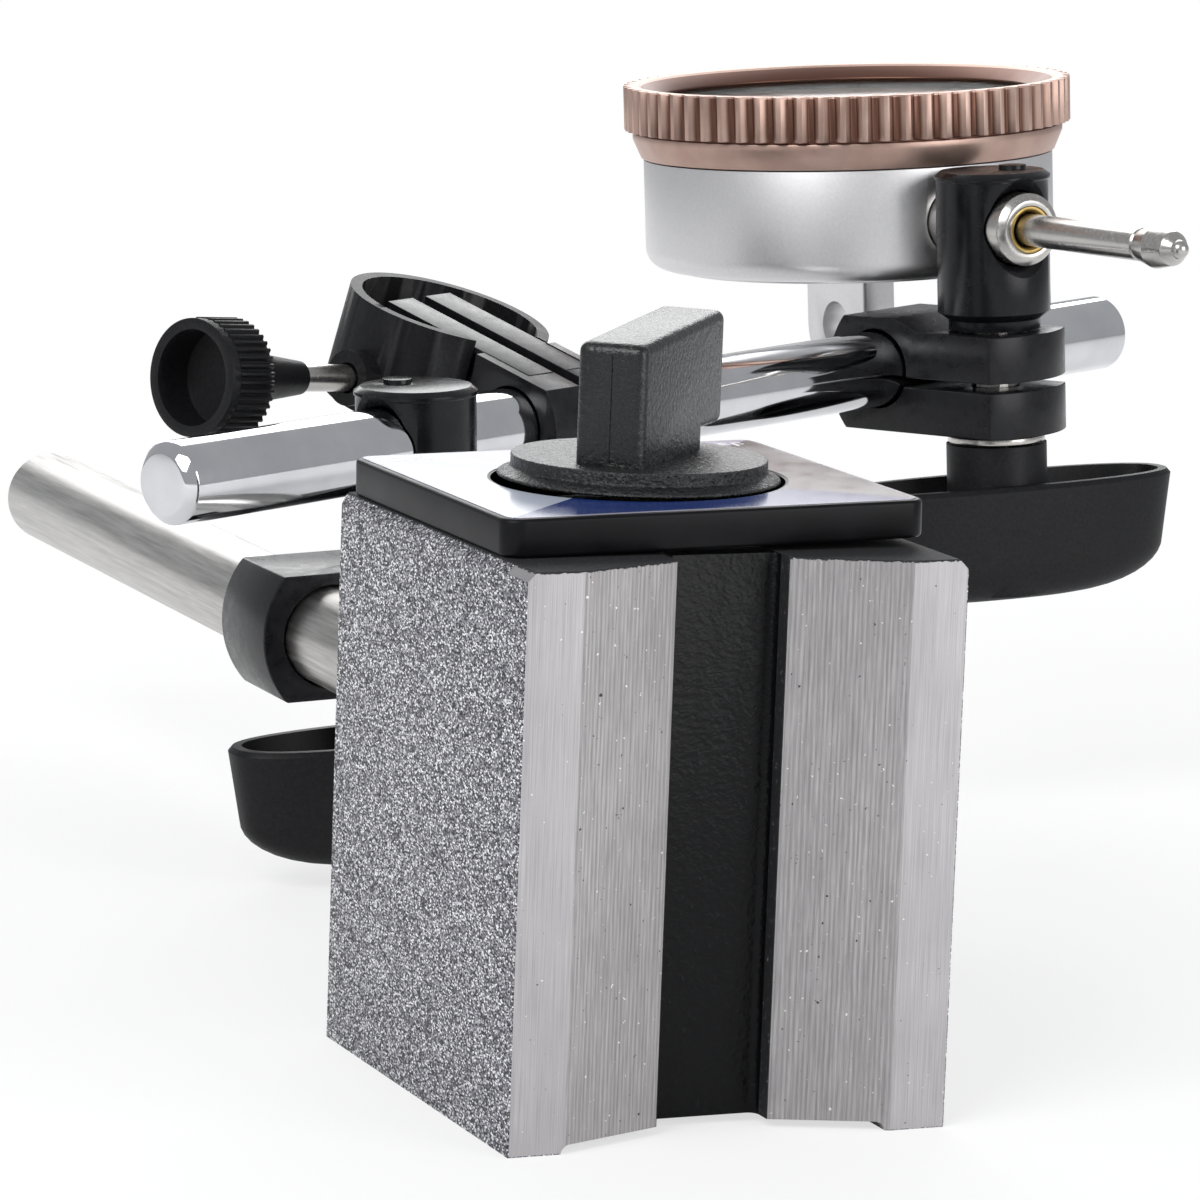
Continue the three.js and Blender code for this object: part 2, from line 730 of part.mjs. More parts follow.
// Chrome rod through the lower barrel
const rodFrame = frameOn(lowerBolt, 0, 0, rodHeight);
rodFrame.rotation.z = degrees(rodBearing);
const rodBar = bevelledPin(rodRadius, -rodTail, rodLength - rodTail, rodEdge);
node('sub_post', alongX(rodBar), chromed(), rodFrame);

// Fine adjuster on the rod
const drumPlace = adjusterBarReach - drumInset;
const adjusterFrame = frameOn(rodFrame, adjusterPlace, 0, 0);
adjusterFrame.rotation.x = degrees(adjusterTilt);

function adjusterBar() {
  const bulge = adjusterFrontReach - adjusterFrontFlat;
  const bulgeRadius = (adjusterTop ** 2 + bulge ** 2) / (2 * bulge);
  const sweep = Math.asin(adjusterTop / bulgeRadius);
  const toYZ = new THREE.Matrix4().makeBasis(
    new THREE.Vector3(0, 1, 0), new THREE.Vector3(0, 0, 1), new THREE.Vector3(1, 0, 0));
  const hubSide = new THREE.Shape();
  hubSide.moveTo(adjusterHubBack, -adjusterTop);
  hubSide.lineTo(adjusterHubBack, adjusterTop);
  hubSide.absarc(bulgeRadius - adjusterFrontReach, 0, bulgeRadius, Math.PI - sweep, Math.PI + sweep, false);
  const hub = raised(hubSide, -adjusterHubWidth / 2, adjusterHubWidth, adjusterEdge).applyMatrix4(toYZ);
  const barSide = new THREE.Shape();
  barSide.moveTo(0, adjusterBarBottom);
  barSide.lineTo(adjusterBarReach - adjusterEdge, adjusterBarBottom);
  barSide.lineTo(adjusterBarReach, adjusterBarBottom + adjusterEdge);
  barSide.lineTo(adjusterBarReach, adjusterTop - adjusterEdge);
  barSide.lineTo(adjusterBarReach - adjusterEdge, adjusterTop);
  barSide.lineTo(0, adjusterTop);
  const bar = raised(barSide, -adjusterBarWidth / 2, adjusterBarWidth, adjusterEdge).applyMatrix4(toYZ);
  const reach = adjusterHubWidth / 2 + overrun;
  const hole = alongX(pin(rodRadius + runningGap, -reach, reach, roundSides));
  const [front, back] = [-adjusterFrontReach - overrun, adjusterBarReach + overrun];
  const slotHalf = adjusterSlot / 2;
  const slot = block(-slotHalf, slotHalf, front, back, adjusterSlotFloor, adjusterTop + overrun);
  const rivetHole = pin(drumRivetRadius + drumRivetPlay, adjusterBarBottom - overrun,
    adjusterBarBottom + drumRivetDepth);
  return cut(join(hub, bar), hole, slot, rivetHole.translate(0, drumPlace, 0));
}

node('adjuster_bar', adjusterBar(), castBlack(), adjusterFrame);

const drumFrame = frameOn(adjusterFrame, 0, drumPlace, 0);
drumFrame.rotation.y = degrees(drumTilt);

function drum() {
  const foot = drumFloorTop - drumFloor;
  const inner = drumRadius - drumWall;
  const cup = turned([
    [0, foot], [drumRadius - drumEdge, foot], [drumRadius, foot + drumEdge],
    [drumRadius, drumTop - drumEdge], [drumRadius - drumEdge, drumTop], [inner + drumEdge / 2, drumTop],
    [inner, drumTop - drumEdge / 2], [inner, drumFloorTop], [0, drumFloorTop],
  ], largeSides * 3 / 4);
  const bossTip = -drumRadius - drumBossReach;
  const boss = alongX(pin(drumBossRadius, bossTip, -drumRadius + drumWall / 2)).translate(0, 0, drumScrewHeight);
  const notchHalf = adjusterBarWidth / 2 + drumNotchGap;
  const notch = block(-notchHalf, notchHalf, -drumRadius - overrun, 0,
    adjusterBarBottom - drumNotchGap, drumTop + overrun);
  const screwHole = alongX(pin(thumbScrewRadius + runningGap, bossTip - overrun, -inner + overrun));
  const rivetHole = pin(drumRivetRadius + pressGap, foot - overrun, drumFloorTop + overrun);
  return cut(join(cup, boss), notch, screwHole.translate(0, 0, drumScrewHeight), rivetHole);
}

node('adjuster_drum', drum(), mouldedBlack(), drumFrame);
const drumRivet = pin(drumRivetRadius, drumFloorTop - drumFloor, adjusterBarBottom + drumRivetDepth - seatGap);
node('drum_rivet', drumRivet, satinSteel(), drumFrame);

// Thumb screw with its fluted cup knob, along local X
const thumbFrame = frameOn(drumFrame, 0, 0, drumScrewHeight);
const screwTip = -adjusterBarWidth / 2 - thumbScrewTipGap;
const screwHead = -thumbKnobPlace - thumbKnobLength + thumbKnobCupDepth + thumbKnobWall;
const screwBar = bevelledPin(thumbScrewRadius, screwHead, screwTip, seatGap, smallSides);
node('thumb_screw', alongX(screwBar), satinSteel(), thumbFrame);

function thumbKnob() {
  const tip = -thumbKnobPlace;
  const face = tip - thumbKnobLength;
  const rimBack = face + thumbKnobRimLength;
  const cupRadius = thumbKnobRadius - thumbKnobWall;
  const root = thumbKnobRadius - thumbKnobFluteDepth;
  const core = turned([
    [0, face + thumbKnobCupDepth], [cupRadius, face + thumbKnobCupDepth], [cupRadius, face],
    [root, face], [root, rimBack], [(root + thumbKnobNeckRadius) / 2, rimBack + thumbKnobWall],
    [thumbKnobNeckRadius + thumbKnobWall / 2, (rimBack + tip) / 2], [thumbKnobNeckRadius, tip], [0, tip],
  ]);
  const band = raised(fluted(thumbKnobRadius, root, thumbKnobFlutes), face, thumbKnobRimLength);
  const bore = pin(cupRadius, face - overrun, rimBack + overrun, roundSides);
  const screwHole = pin(thumbScrewRadius + pressGap, screwHead - seatGap, tip + overrun);
  return alongX(cut(join(core, cut(band, bore)), screwHole));
}

node('thumb_knob', thumbKnob(), mouldedBlack(), thumbFrame);

// Head: clamp, barrel and wing knob at the end of the rod
const headFrame = frameOn(rodFrame, upperClampPlace, 0, 0);
headFrame.rotation.x = degrees(headTilt);
node('rod_clamp', splitClamp({
  bore: rodRadius,
  boltAt: upperBoltOffset,
  bodyTop: upperBodyTop,
  earTop: upperEarTop,
  bottom: upperClampBottom,
  backReach: upperBackReach,
  backRadius: upperBackRadius,
  humpFoot: upperHumpFoot,
  humpHead: upperHumpHead,
}), castBlack(), headFrame);

const upperBolt = frameOn(headFrame, 0, -upperBoltOffset, 0);
const upperSeat = upperEarTop + seatGap;
addSwivel('upper', upperBolt, upperSeat, upperClampBottom, stemRadius, stemBearing);
addWing('upper', upperBolt, upperClampBottom, upperWingBearing);

// Indicator frame: origin at the middle of the bezel's top, stem towards local +X
const stemFrame = frameOn(upperBolt, 0, 0, upperSeat + barrelHoleHeight + stemDepth);
stemFrame.rotation.z = degrees(stemBearing);
const dialFrame = frameOn(stemFrame, -caseRadius - barrelRadius - barrelToCase, 0, 0);
const collarRadius = caseRadius - collarStep;
const backCoverRadius = caseRadius - backCoverInset;
const bezelRadius = caseRadius + bezelOut;
const bezelLipRadius = bezelRadius + bezelLipOut;
const bezelLipFootRadius = caseRadius + bezelLipFootOut;
const bezelBore = collarRadius + bezelPlay;
const bezelOpening = collarRadius - bezelOpeningIn;
const bezelFlatInner = collarRadius + bezelFlatOut;
const crystalRadius = collarRadius + crystalOut;
const dialSplitRadius = collarRadius * dialSplitShare;
const bridgeRadius = collarRadius * bridgeShare;

function indicatorCase() {
  const inner = caseRadius - caseWall;
  const corner = Array.from({ length: arcSteps + 1 }, (_, step) => {
    const angle = (-Math.PI / 2) * (1 - step / arcSteps);
    const middle = caseRadius - caseCorner;
    return [middle + caseCorner * Math.cos(angle), caseBottom + caseCorner * (1 + Math.sin(angle))];
  });
  const seat = caseBottom + caseSeatDepth;
  const shell = turned([
    [backCoverRadius + pressGap, caseBottom], ...corner, [caseRadius, caseTop],
    [collarRadius, caseTop], [collarRadius, collarTop], [collarRadius - caseWall, collarTop],
    [collarRadius - caseWall, seat], [backCoverRadius + pressGap, seat], [backCoverRadius + pressGap, caseBottom],
  ], largeSides);
  const hole = alongX(pin(stemRadius + pressGap, 0, inner + caseWall + overrun)).translate(0, 0, -stemDepth);
  return cut(shell, hole);
}

node('indicator_case', indicatorCase(), silverCase(), dialFrame);

function backCover() {
  const [foot, head] = [caseBottom - backCoverProud, caseBottom + caseSeatDepth];
  const disc = bevelledPin(backCoverRadius, foot, head, backCoverProud, largeSides);
  const half = lugWidth / 2;
  const side = new THREE.Shape();
  side.moveTo(half, foot + backCoverProud);
  side.lineTo(-half, foot + backCoverProud);
  side.absarc(0, -lugHoleDepth, half, Math.PI, 2 * Math.PI, false);
  const lug = raised(side, -lugThickness / 2, lugThickness, backCoverProud).rotateX(Math.PI / 2);
  const hole = alongY(pin(lugHoleRadius, -lugThickness, lugThickness));
  return cut(join(disc, lug), hole.translate(0, 0, -lugHoleDepth));
}

node('back_cover', backCover(), silverCase(), dialFrame);

const stemRoot = collarRadius - caseWall;
const stemTube = cut(bevelledPin(stemRadius, stemRoot, stemTip, backCoverProud),
  pin(stemBoreRadius, stemRoot - overrun, stemTip + overrun));
node('stem', alongX(stemTube).translate(0, 0, -stemDepth), satinSteel(), dialFrame);

// Bezel: a straight-fluted band over a tapered lip, bored to turn on the case collar
function bezel() {
  const root = bezelRadius - bezelFluteDepth;
  const core = root - bezelFluteDepth / 2;
  const ring = turned([
    [bezelOpening, -bezelBevelDepth], [bezelFlatInner, 0], [core, 0], [core, bezelLipTop],
    [bezelLipRadius, bezelLipTop], [bezelLipRadius, bezelLipTop - bezelFluteDepth],
    [bezelLipFootRadius, bezelFoot], [bezelBore, bezelFoot], [bezelBore, crystalTop - crystalThickness],
    [crystalRadius + pressGap, crystalTop - crystalThickness], [crystalRadius + pressGap, crystalTop],
    [bezelOpening, crystalTop], [bezelOpening, -bezelBevelDepth],
  ], largeSides);
  const band = raised(fluted(bezelRadius, root, bezelFlutes), -bezelBand, bezelBand);
  const bore = pin((core + bezelFlatInner) / 2, -bezelBand - overrun, overrun, largeSides);
  return join(ring, cut(band, bore));
}

node('bezel', bezel(), bronzeBezel(), dialFrame);
const crystalPin = pin(crystalRadius, crystalTop - crystalThickness + pressGap, crystalTop - pressGap, largeSides);
node('crystal', crystalPin, clearCrystal(), dialFrame);

// Places of the two arbors: the counter arbor's pinion touches the rack, and its gear the centre
const gearRoom = caseRadius - collarStep - caseWall - gearToCase;
const toothModule = gearRoom / (driveGearTeeth + centrePinionTeeth / 2 + 1);
const rackPinionRadius = rackPinionTeeth * rackPitch / (2 * Math.PI);
const driveGearRadius = driveGearTeeth * toothModule / 2;
const centrePinionRadius = centrePinionTeeth * toothModule / 2;
const counterPlaceY = -rackPitchLine - rackPinionRadius;
const counterPlaceX = -Math.sqrt((driveGearRadius + centrePinionRadius) ** 2 - counterPlaceY ** 2);
const meshBearing = Math.atan2(-counterPlaceY, -counterPlaceX);

// Dial in two parts: the outer ring turns with the bezel, the middle stays with the case
const dialFoot = dialTop - dialThickness;
const dialRing = cut(pin(bezelBore - pressGap, dialFoot, dialTop, largeSides),
  pin(dialSplitRadius + dialSplitGap, dialFoot - overrun, dialTop + overrun, roundSides));
node('dial_ring', dialRing, whiteDial(), dialFrame);
const arborHole = pin(arborRadius + runningGap, dialFoot - overrun, dialTop + overrun);
const smallArborHole = arborHole.clone().translate(counterPlaceX, counterPlaceY, 0);
const dialDisc = pin(dialSplitRadius, dialFoot, dialTop, roundSides);
node('dial_centre', cut(dialDisc, arborHole, smallArborHole), whiteDial(), dialFrame);

// Movement bridge: a plate over the spindle on three pillars that also carry the dial
const pillarShares = [[0.58, -0.68], [0.58, 0.68], [-0.74, 0.62]];

function bridge() {
  const foot = bridgeTop - bridgeThickness;
  const plate = pin(bridgeRadius, foot, bridgeTop, roundSides);
  const pillars = pillarShares.map(([xShare, yShare]) => {
    const pillar = pin(pillarRadius, caseBottom + caseSeatDepth + pressGap, dialFoot - pressGap);
    return pillar.translate(xShare * bridgeRadius, yShare * bridgeRadius, 0);
  });
  const hole = pin(arborRadius + runningGap, foot - overrun, bridgeTop + overrun);
  const smallHole = hole.clone().translate(counterPlaceX, counterPlaceY, 0);
  return cut(join(plate, ...pillars), hole, smallHole);
}

node('movement_bridge', bridge(), brassy(), dialFrame);

// Hands on their arbors
function hand(reach, tail, halfWidth, tipHalfWidth, foot, thickness) {
  const shape = new THREE.Shape();
  shape.moveTo(reach, -tipHalfWidth);
  shape.lineTo(reach, tipHalfWidth);
  shape.lineTo(0, halfWidth);
  shape.lineTo(-tail, halfWidth);
  shape.lineTo(-tail, -halfWidth);
  shape.lineTo(0, -halfWidth);
  return raised(shape, foot, thickness);
}

const pointerFoot = dialTop + pointerLift;
const pointerHead = pointerFoot + pointerHubHeight;
const pointerBlade = hand(collarRadius * pointerReachShare, pointerTail, pointerHalfWidth, pointerTipHalfWidth,
  pointerFoot, pointerThickness);
const pointerHub = pin(pointerHubRadius, pointerFoot - pointerThickness / 2, pointerHead);
const arborSeat = pin(arborRadius + pressGap, pointerFoot - overrun, pointerHead - seatGap);
node('main_pointer', cut(join(pointerBlade, pointerHub), arborSeat), castBlack(), dialFrame);

const smallFoot = dialTop + smallHandLift;
const smallHead = smallFoot + smallHandHubHeight;
const smallBlade = hand(smallHandReach, smallHandTail, smallHandHalfWidth, pointerTipHalfWidth,
  smallFoot, pointerThickness);
const smallHub = pin(smallHandHubRadius, smallFoot, smallHead);
const smallSeat = pin(arborRadius + pressGap, smallFoot - overrun, smallHead - smallHandCap);
const smallHand = cut(join(smallBlade, smallHub), smallSeat).translate(counterPlaceX, counterPlaceY, 0);
node('small_hand', smallHand, castBlack(), dialFrame);

// Movement between the spindle and the hands: teeth as straight-sided ribs, four points each
function toothed(pitchRadius, count) {
  const [tip, root] = [pitchRadius + toothModule, pitchRadius - 5 * toothModule / 4];
  const rib = [[-toothRootShare, root], [-toothTipShare, tip], [toothTipShare, tip], [toothRootShare, root]];
  const points = Array.from({ length: count }, (_, tooth) => rib.map(([turnShare, radius]) => {
    const angle = (2 * Math.PI * (tooth + turnShare)) / count;
    return new THREE.Vector2(radius * Math.cos(angle), radius * Math.sin(angle));
  }));
  return new THREE.Shape(points.flat());
}

const gearFoot = bridgeTop + driveGearRise;
const centrePinion = raised(toothed(centrePinionRadius, centrePinionTeeth), gearFoot + driveGearThickness / 2
  - centrePinionLength / 2, centrePinionLength).rotateZ(meshBearing + Math.PI - Math.PI / centrePinionTeeth);
const centreBar = pin(arborRadius, bridgeTop - bridgeThickness, pointerHead - 2 * seatGap);
node('centre_arbor', join(centreBar, centrePinion), satinSteel(), dialFrame);

const rackPinion = raised(toothed(rackPinionRadius, rackPinionTeeth), -stemDepth - rackPinionLength / 2,
  rackPinionLength);
const counterBar = pin(arborRadius, -stemDepth - rackPinionLength, smallHead - smallHandCap - pressGap);
node('counter_arbor', join(counterBar, rackPinion).translate(counterPlaceX, counterPlaceY, 0), satinSteel(), dialFrame);

const gearPlate = raised(toothed(driveGearRadius, driveGearTeeth), gearFoot, driveGearThickness);
const gearBore = pin(arborRadius + pressGap, gearFoot - overrun, gearFoot + driveGearThickness + overrun);
const driveGear = cut(gearPlate, gearBore).rotateZ(meshBearing).translate(counterPlaceX, counterPlaceY, 0);
node('drive_gear', driveGear, brassy(), dialFrame);

// Spindle through the stem, with its contact point
const spindleFrame = frameOn(dialFrame, 0, 0, -stemDepth);
const spindleBar = alongX(bevelledPin(spindleRadius, -spindleTail, spindleTip, spindleEdge, smallSides));

// Cutter for the rack: a gap stands at the counter arbor, and half of the teeth lie each side
function rackCutter() {
  const [tip, root] = [-rackPitchLine - toothModule, 5 * toothModule / 4 - rackPitchLine];
  const first = counterPlaceX - rackPitch * rackTeethBehind;
  const outer = -spindleRadius - overrun;
  const shape = new THREE.Shape();
  shape.moveTo(first - rackPitch / 2, outer);
  for (let tooth = 0; tooth < rackTeeth; tooth += 1) {
    const middle = first + rackPitch * tooth;
    shape.lineTo(middle - rackPitch * (1 / 2 - toothTipShare), tip);
    shape.lineTo(middle - rackPitch * (1 / 2 - toothRootShare), root);
    shape.lineTo(middle + rackPitch * (1 / 2 - toothRootShare), root);
    shape.lineTo(middle + rackPitch * (1 / 2 - toothTipShare), tip);
  }
  shape.lineTo(first + rackPitch * (rackTeeth - 1 / 2), outer);
  return raised(shape, -spindleRadius - overrun, 2 * (spindleRadius + overrun));
}

node('spindle', cut(spindleBar, rackCutter()), satinSteel(), spindleFrame);

function contactPoint() {
  const foot = spindleTip + pressGap;
  const flareEnd = foot + contactFlare;
  const neckEnd = contactTip - 2 * contactBallRadius;
  const ballMiddle = contactTip - contactBallRadius;
  const ball = Array.from({ length: arcSteps }, (_, step) => {
    const angle = (Math.PI / 2) * (step / arcSteps);
    return [contactBallRadius * Math.cos(angle), ballMiddle + contactBallRadius * Math.sin(angle)];
  });
  return alongX(turned([
    [0, foot], [spindleRadius, foot], [contactRadius, flareEnd], [contactNeckRadius, neckEnd], ...ball,
    [0, contactTip],
  ], smallSides));
}

node('contact_point', contactPoint(), satinSteel(), spindleFrame);

export default assembly;
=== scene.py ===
import json
import math

import bpy
from mathutils import Matrix, Vector

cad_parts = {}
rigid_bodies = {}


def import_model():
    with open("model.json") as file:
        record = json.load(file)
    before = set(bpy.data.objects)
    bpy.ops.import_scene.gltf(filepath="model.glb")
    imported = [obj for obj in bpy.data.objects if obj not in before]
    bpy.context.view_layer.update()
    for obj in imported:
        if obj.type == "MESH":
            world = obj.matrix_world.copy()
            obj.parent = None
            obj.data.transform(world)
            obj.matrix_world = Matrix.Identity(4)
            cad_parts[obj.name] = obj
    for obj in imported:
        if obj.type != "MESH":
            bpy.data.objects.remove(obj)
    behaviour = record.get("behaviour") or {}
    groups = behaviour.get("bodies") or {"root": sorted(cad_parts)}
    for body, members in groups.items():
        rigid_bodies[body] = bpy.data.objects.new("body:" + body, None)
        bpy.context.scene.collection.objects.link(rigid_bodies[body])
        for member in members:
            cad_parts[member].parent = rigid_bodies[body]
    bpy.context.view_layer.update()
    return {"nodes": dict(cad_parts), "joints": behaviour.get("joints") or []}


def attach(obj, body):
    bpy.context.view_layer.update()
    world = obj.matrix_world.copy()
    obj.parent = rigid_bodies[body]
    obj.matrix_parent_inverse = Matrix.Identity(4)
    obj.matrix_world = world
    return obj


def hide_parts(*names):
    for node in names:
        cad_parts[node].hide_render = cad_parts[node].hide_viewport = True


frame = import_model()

MM = 0.001

# Camera: a long lens, a little above the block and to its left, rolled two degrees as the
# photograph is. Its place was solved from the block's own edges and the rods.
camera_place = Vector((-244.22, -561.72, 153.54)) * MM
bearing, height_angle, roll = (math.radians(a) for a in (-23.062, 9.431, 2.084))
photo_width, focal_pixels, sensor = 1200, 5890.8, 36

back = Vector((
    math.sin(bearing) * math.cos(height_angle),
    -math.cos(bearing) * math.cos(height_angle),
    math.sin(height_angle),
))
level = Vector((math.cos(bearing), math.sin(bearing), 0))
upright = back.cross(level)
right = level * math.cos(roll) + upright * math.sin(roll)
top = upright * math.cos(roll) - level * math.sin(roll)
camera_axes = Matrix((right, top, back)).transposed().to_4x4()
bpy.ops.object.select_all(action="DESELECT")
bpy.ops.object.camera_add()
camera = bpy.context.object
camera.name = "camera"
camera.data.sensor_width = sensor
camera.data.lens = sensor * focal_pixels / photo_width
camera.data.clip_end = 40
camera.matrix_world = Matrix.Translation(camera_place) @ camera_axes
bpy.context.scene.camera = camera
bpy.context.scene.view_settings.view_transform = "Standard"


# Floor: a pale seamless paper under the block. The camera sees it nearly white, and wholly so
# further out, and it still takes the object's shadow.
def linear(code):
    """An sRGB hex colour as the linear colour that a shader socket takes."""
    shares = [int(code[i:i + 2], 16) / 255 for i in (1, 3, 5)]
    bent = [s / 12.92 if s <= 0.04045 else ((s + 0.055) / 1.055) ** 2.4 for s in shares]
    return (*bent, 1)


def feed(node, inputs):
    """Links inputs to the nodes or sockets that they are given, and sets the others.

    An input goes by its name, or by its number where its names are all alike."""
    for name, value in inputs.items():
        if isinstance(name, str):
            taken = next(s for s in node.inputs if s.enabled and s.name == name)
        else:
            taken = node.inputs[name]
        if isinstance(value, bpy.types.Node):
            value = next(s for s in value.outputs if s.enabled)
        if isinstance(value, bpy.types.NodeSocket):
            node.id_data.links.new(value, taken)
        else:
            taken.default_value = value


def add(tree, kind, inputs, **settings):
    """Adds a shader node with its inputs and settings. A ramp's stops are places and colours."""
    made = tree.nodes.new("ShaderNode" + kind)
    for name, value in settings.items():
        if name == "stops":
            elements = made.color_ramp.elements
            elements.remove(elements[-1])
            elements[0].position, elements[0].color = value[0][0], linear(value[0][1])
            for spot, code in value[1:]:
                elements.new(spot).color = linear(code)
        else:
            setattr(made, name, value)
    feed(made, inputs)
    return made


def new_material(name, inputs):
    """A material with only a Principled shader, as (material, node tree, shader)."""
    material = bpy.data.materials.new(name)
    material.use_nodes = True
    tree = material.node_tree
    tree.nodes.clear()
    shader = add(tree, "BsdfPrincipled", inputs)
    add(tree, "OutputMaterial", {"Surface": shader})
    return material, tree, shader


def painted(piece, material):
    """Gives a piece this material in place of its own."""
    piece.data.materials.clear()
    piece.data.materials.append(material)


floor_size, floor_drop = 16, 0.02
near, far, near_share = 0.15, 0.45, 0.66
bpy.ops.object.select_all(action="DESELECT")
bpy.ops.mesh.primitive_plane_add(size=floor_size, location=(0, 0, -floor_drop * MM))
floor = bpy.context.object
floor.name = "studio_floor"
floor_paper, tree, shader = new_material(
    "pale studio paper", {"Base Color": linear("#f4f4f4"), "Roughness": 0.9})
white = add(tree, "Emission", {"Color": linear("#ffffff"), "Strength": 1.0})
path = add(tree, "LightPath", {})
spot = add(tree, "TexCoord", {}).outputs["Object"]
away = add(tree, "VectorMath", {"Vector": spot}, operation="LENGTH")
share = add(tree, "MapRange", {
    "Value": away, "From Min": near, "From Max": far, "To Min": near_share, "To Max": 1.0})
seen = add(tree, "Math", {0: path.outputs["Is Camera Ray"], 1: share}, operation="MULTIPLY")
both = add(tree, "MixShader", {0: seen, 1: shader, 2: white})
feed(tree.nodes["Material Output"], {"Surface": both})
painted(floor, floor_paper)

# Studio: plain grey surroundings with three soft boxes. The camera sees them white, straight
# and through the crystal.
world = bpy.data.worlds.new("plain studio")
bpy.context.scene.world = world
world.use_nodes = True
tree = world.node_tree
tree.nodes.clear()
path = add(tree, "LightPath", {})
direct = add(tree, "Math", {
    0: path.outputs["Is Camera Ray"], 1: path.outputs["Is Transmission Ray"]}, operation="MAXIMUM")
round_about = add(tree, "Background", {"Color": linear("#c8cacd"), "Strength": 0.75})
backdrop = add(tree, "Background", {"Color": linear("#ffffff"), "Strength": 1.0})
both = add(tree, "MixShader", {0: direct, 1: round_about, 2: backdrop})
add(tree, "OutputWorld", {"Surface": both})
middle = Vector((0.03, 0.05, 0.04))
for name, place, metres, watts in (
        ("key_soft_box", (-0.75, -0.45, 0.85), 0.7, 9),
        ("front_soft_box", (0.55, -0.8, 0.35), 0.6, 4),
        ("back_soft_box", (0.3, 0.95, 0.6), 0.8, 6)):
    bpy.ops.object.select_all(action="DESELECT")
    bpy.ops.object.light_add(type="AREA", location=place)
    lamp = bpy.context.object
    lamp.name = name
    lamp.data.size, lamp.data.energy = metres, watts
    lamp.rotation_euler = (middle - Vector(place)).to_track_quat("-Z", "Y").to_euler()


# Magnet poles: two ground steel blocks. The slopes of the front V start level with its lands,
# and both are ground bright; the other sides wear hammered silver-grey paint. The end face
# stands on lands beside a shallow milled relief.
def span(node, place=Matrix()):
    """The lowest and highest corner of a solid in a place's own axes, in millimetres."""
    to_place = place.inverted()
    points = [to_place @ vertex.co / MM for vertex in frame["nodes"][node].data.vertices]
    return [Vector([pick(p[axis] for p in points) for axis in range(3)]) for pick in (min, max)]


def alone(*pieces):
    """Selects only these pieces and makes the first active."""
    bpy.ops.object.select_all(action="DESELECT")
    for piece in pieces:
        piece.select_set(True)
    bpy.context.view_layer.objects.active = pieces[0]


def drawn(name, points):
    """A line of edges through points in millimetres, left in edit mode with all selected."""
    bpy.ops.object.select_all(action="DESELECT")
    bpy.ops.mesh.primitive_plane_add(size=MM)
    piece = bpy.context.object
    piece.name = name
    bpy.ops.object.mode_set(mode="EDIT")
    bpy.ops.mesh.merge(type="CENTER")
    bpy.ops.transform.translate(value=Vector(points[0]) * MM)
    for here, there in zip(points, points[1:]):
        step = (Vector(there) - Vector(here)) * MM
        bpy.ops.mesh.extrude_region_move(TRANSFORM_OT_translate={"value": step})
    bpy.ops.mesh.select_all(action="SELECT")
    return piece


def outwards(piece, place=Matrix()):
    """Turns the faces in edit mode outwards, leaves edit mode and puts the mesh at a place."""
    bpy.ops.mesh.select_all(action="SELECT")
    bpy.ops.mesh.normals_make_consistent(inside=False)
    bpy.ops.object.mode_set(mode="OBJECT")
    piece.data.transform(place)
    return piece


def raised(name, outline, low, high, place=Matrix()):
    """A closed plate: an outline of (x, y) in millimetres raised along Z."""
    piece = drawn(name, [(x, y, low) for x, y in outline])
    bpy.ops.mesh.edge_face_add()
    bpy.ops.mesh.extrude_region_move(TRANSFORM_OT_translate={"value": (0, 0, (high - low) * MM)})
    return outwards(piece, place)


def arc(middle, radius, start, end, steps=24):
    """Points of an arc in a plane, from one angle to another in degrees."""
    turns = [math.radians(start + (end - start) * step / steps) for step in range(steps + 1)]
    return [(middle[0] + radius * math.cos(t), middle[1] + radius * math.sin(t)) for t in turns]


def turned(angle, axis):
    """A turn by an angle in degrees about X, Y or Z."""
    return Matrix.Rotation(math.radians(angle), 4, axis)


def applied(piece, kind, **settings):
    """Adds a modifier and applies it."""
    alone(piece)
    modifier = piece.modifiers.new(kind.lower(), kind)
    for name, value in settings.items():
        setattr(modifier, name, value)
    bpy.ops.object.modifier_apply(modifier=modifier.name)
    return piece


def carved(piece, *tools, way="DIFFERENCE"):
    """Cuts, joins or trims a piece with others, which are then gone."""
    for tool in tools:
        applied(piece, "BOOLEAN", operation=way, object=tool, solver="EXACT")
        bpy.data.objects.remove(tool)
    return piece


def smoothed(piece, over):
    """Shades a piece smoothly but for edges sharper than an angle in degrees."""
    alone(piece)
    bpy.ops.object.shade_smooth_by_angle(angle=math.radians(over))
    return piece


def softened(piece, width, segments=2, over=35):
    """Breaks a piece's sharp edges by a small round, in millimetres, and shades it."""
    applied(piece, "BEVEL", width=width * MM, segments=segments, limit_method="ANGLE",
            angle_limit=math.radians(over), harden_normals=False, use_clamp_overlap=True)
    return smoothed(piece, over)


def stands_for(piece, material, body, slot, *nodes):
    """The piece takes a material, moves with a body and is shown in place of these nodes. The slot
    is not used.
    """
    painted(piece, material)
    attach(piece, body)
    if nodes:
        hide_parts(*nodes)


def cells(*sizes):
    """The scale of a pattern whose cells have these sizes in millimetres."""
    return [1 / (size * MM) for size in sizes]


block_low, block_high = span("pole_right")
block_front, block_back, half = block_low.y, block_high.y, block_high.x
land_width, channel_half, slope_fall, channel_depth = 6.2, 6.2, 4.5, 7.5
bore_y, bore_radius, ground_depth = 2.7, 15.2, slope_fall + 1

hammered, tree, shader = new_material("pole_steel ground and hammer painted", {})
place = add(tree, "TexCoord", {}).outputs["Object"]
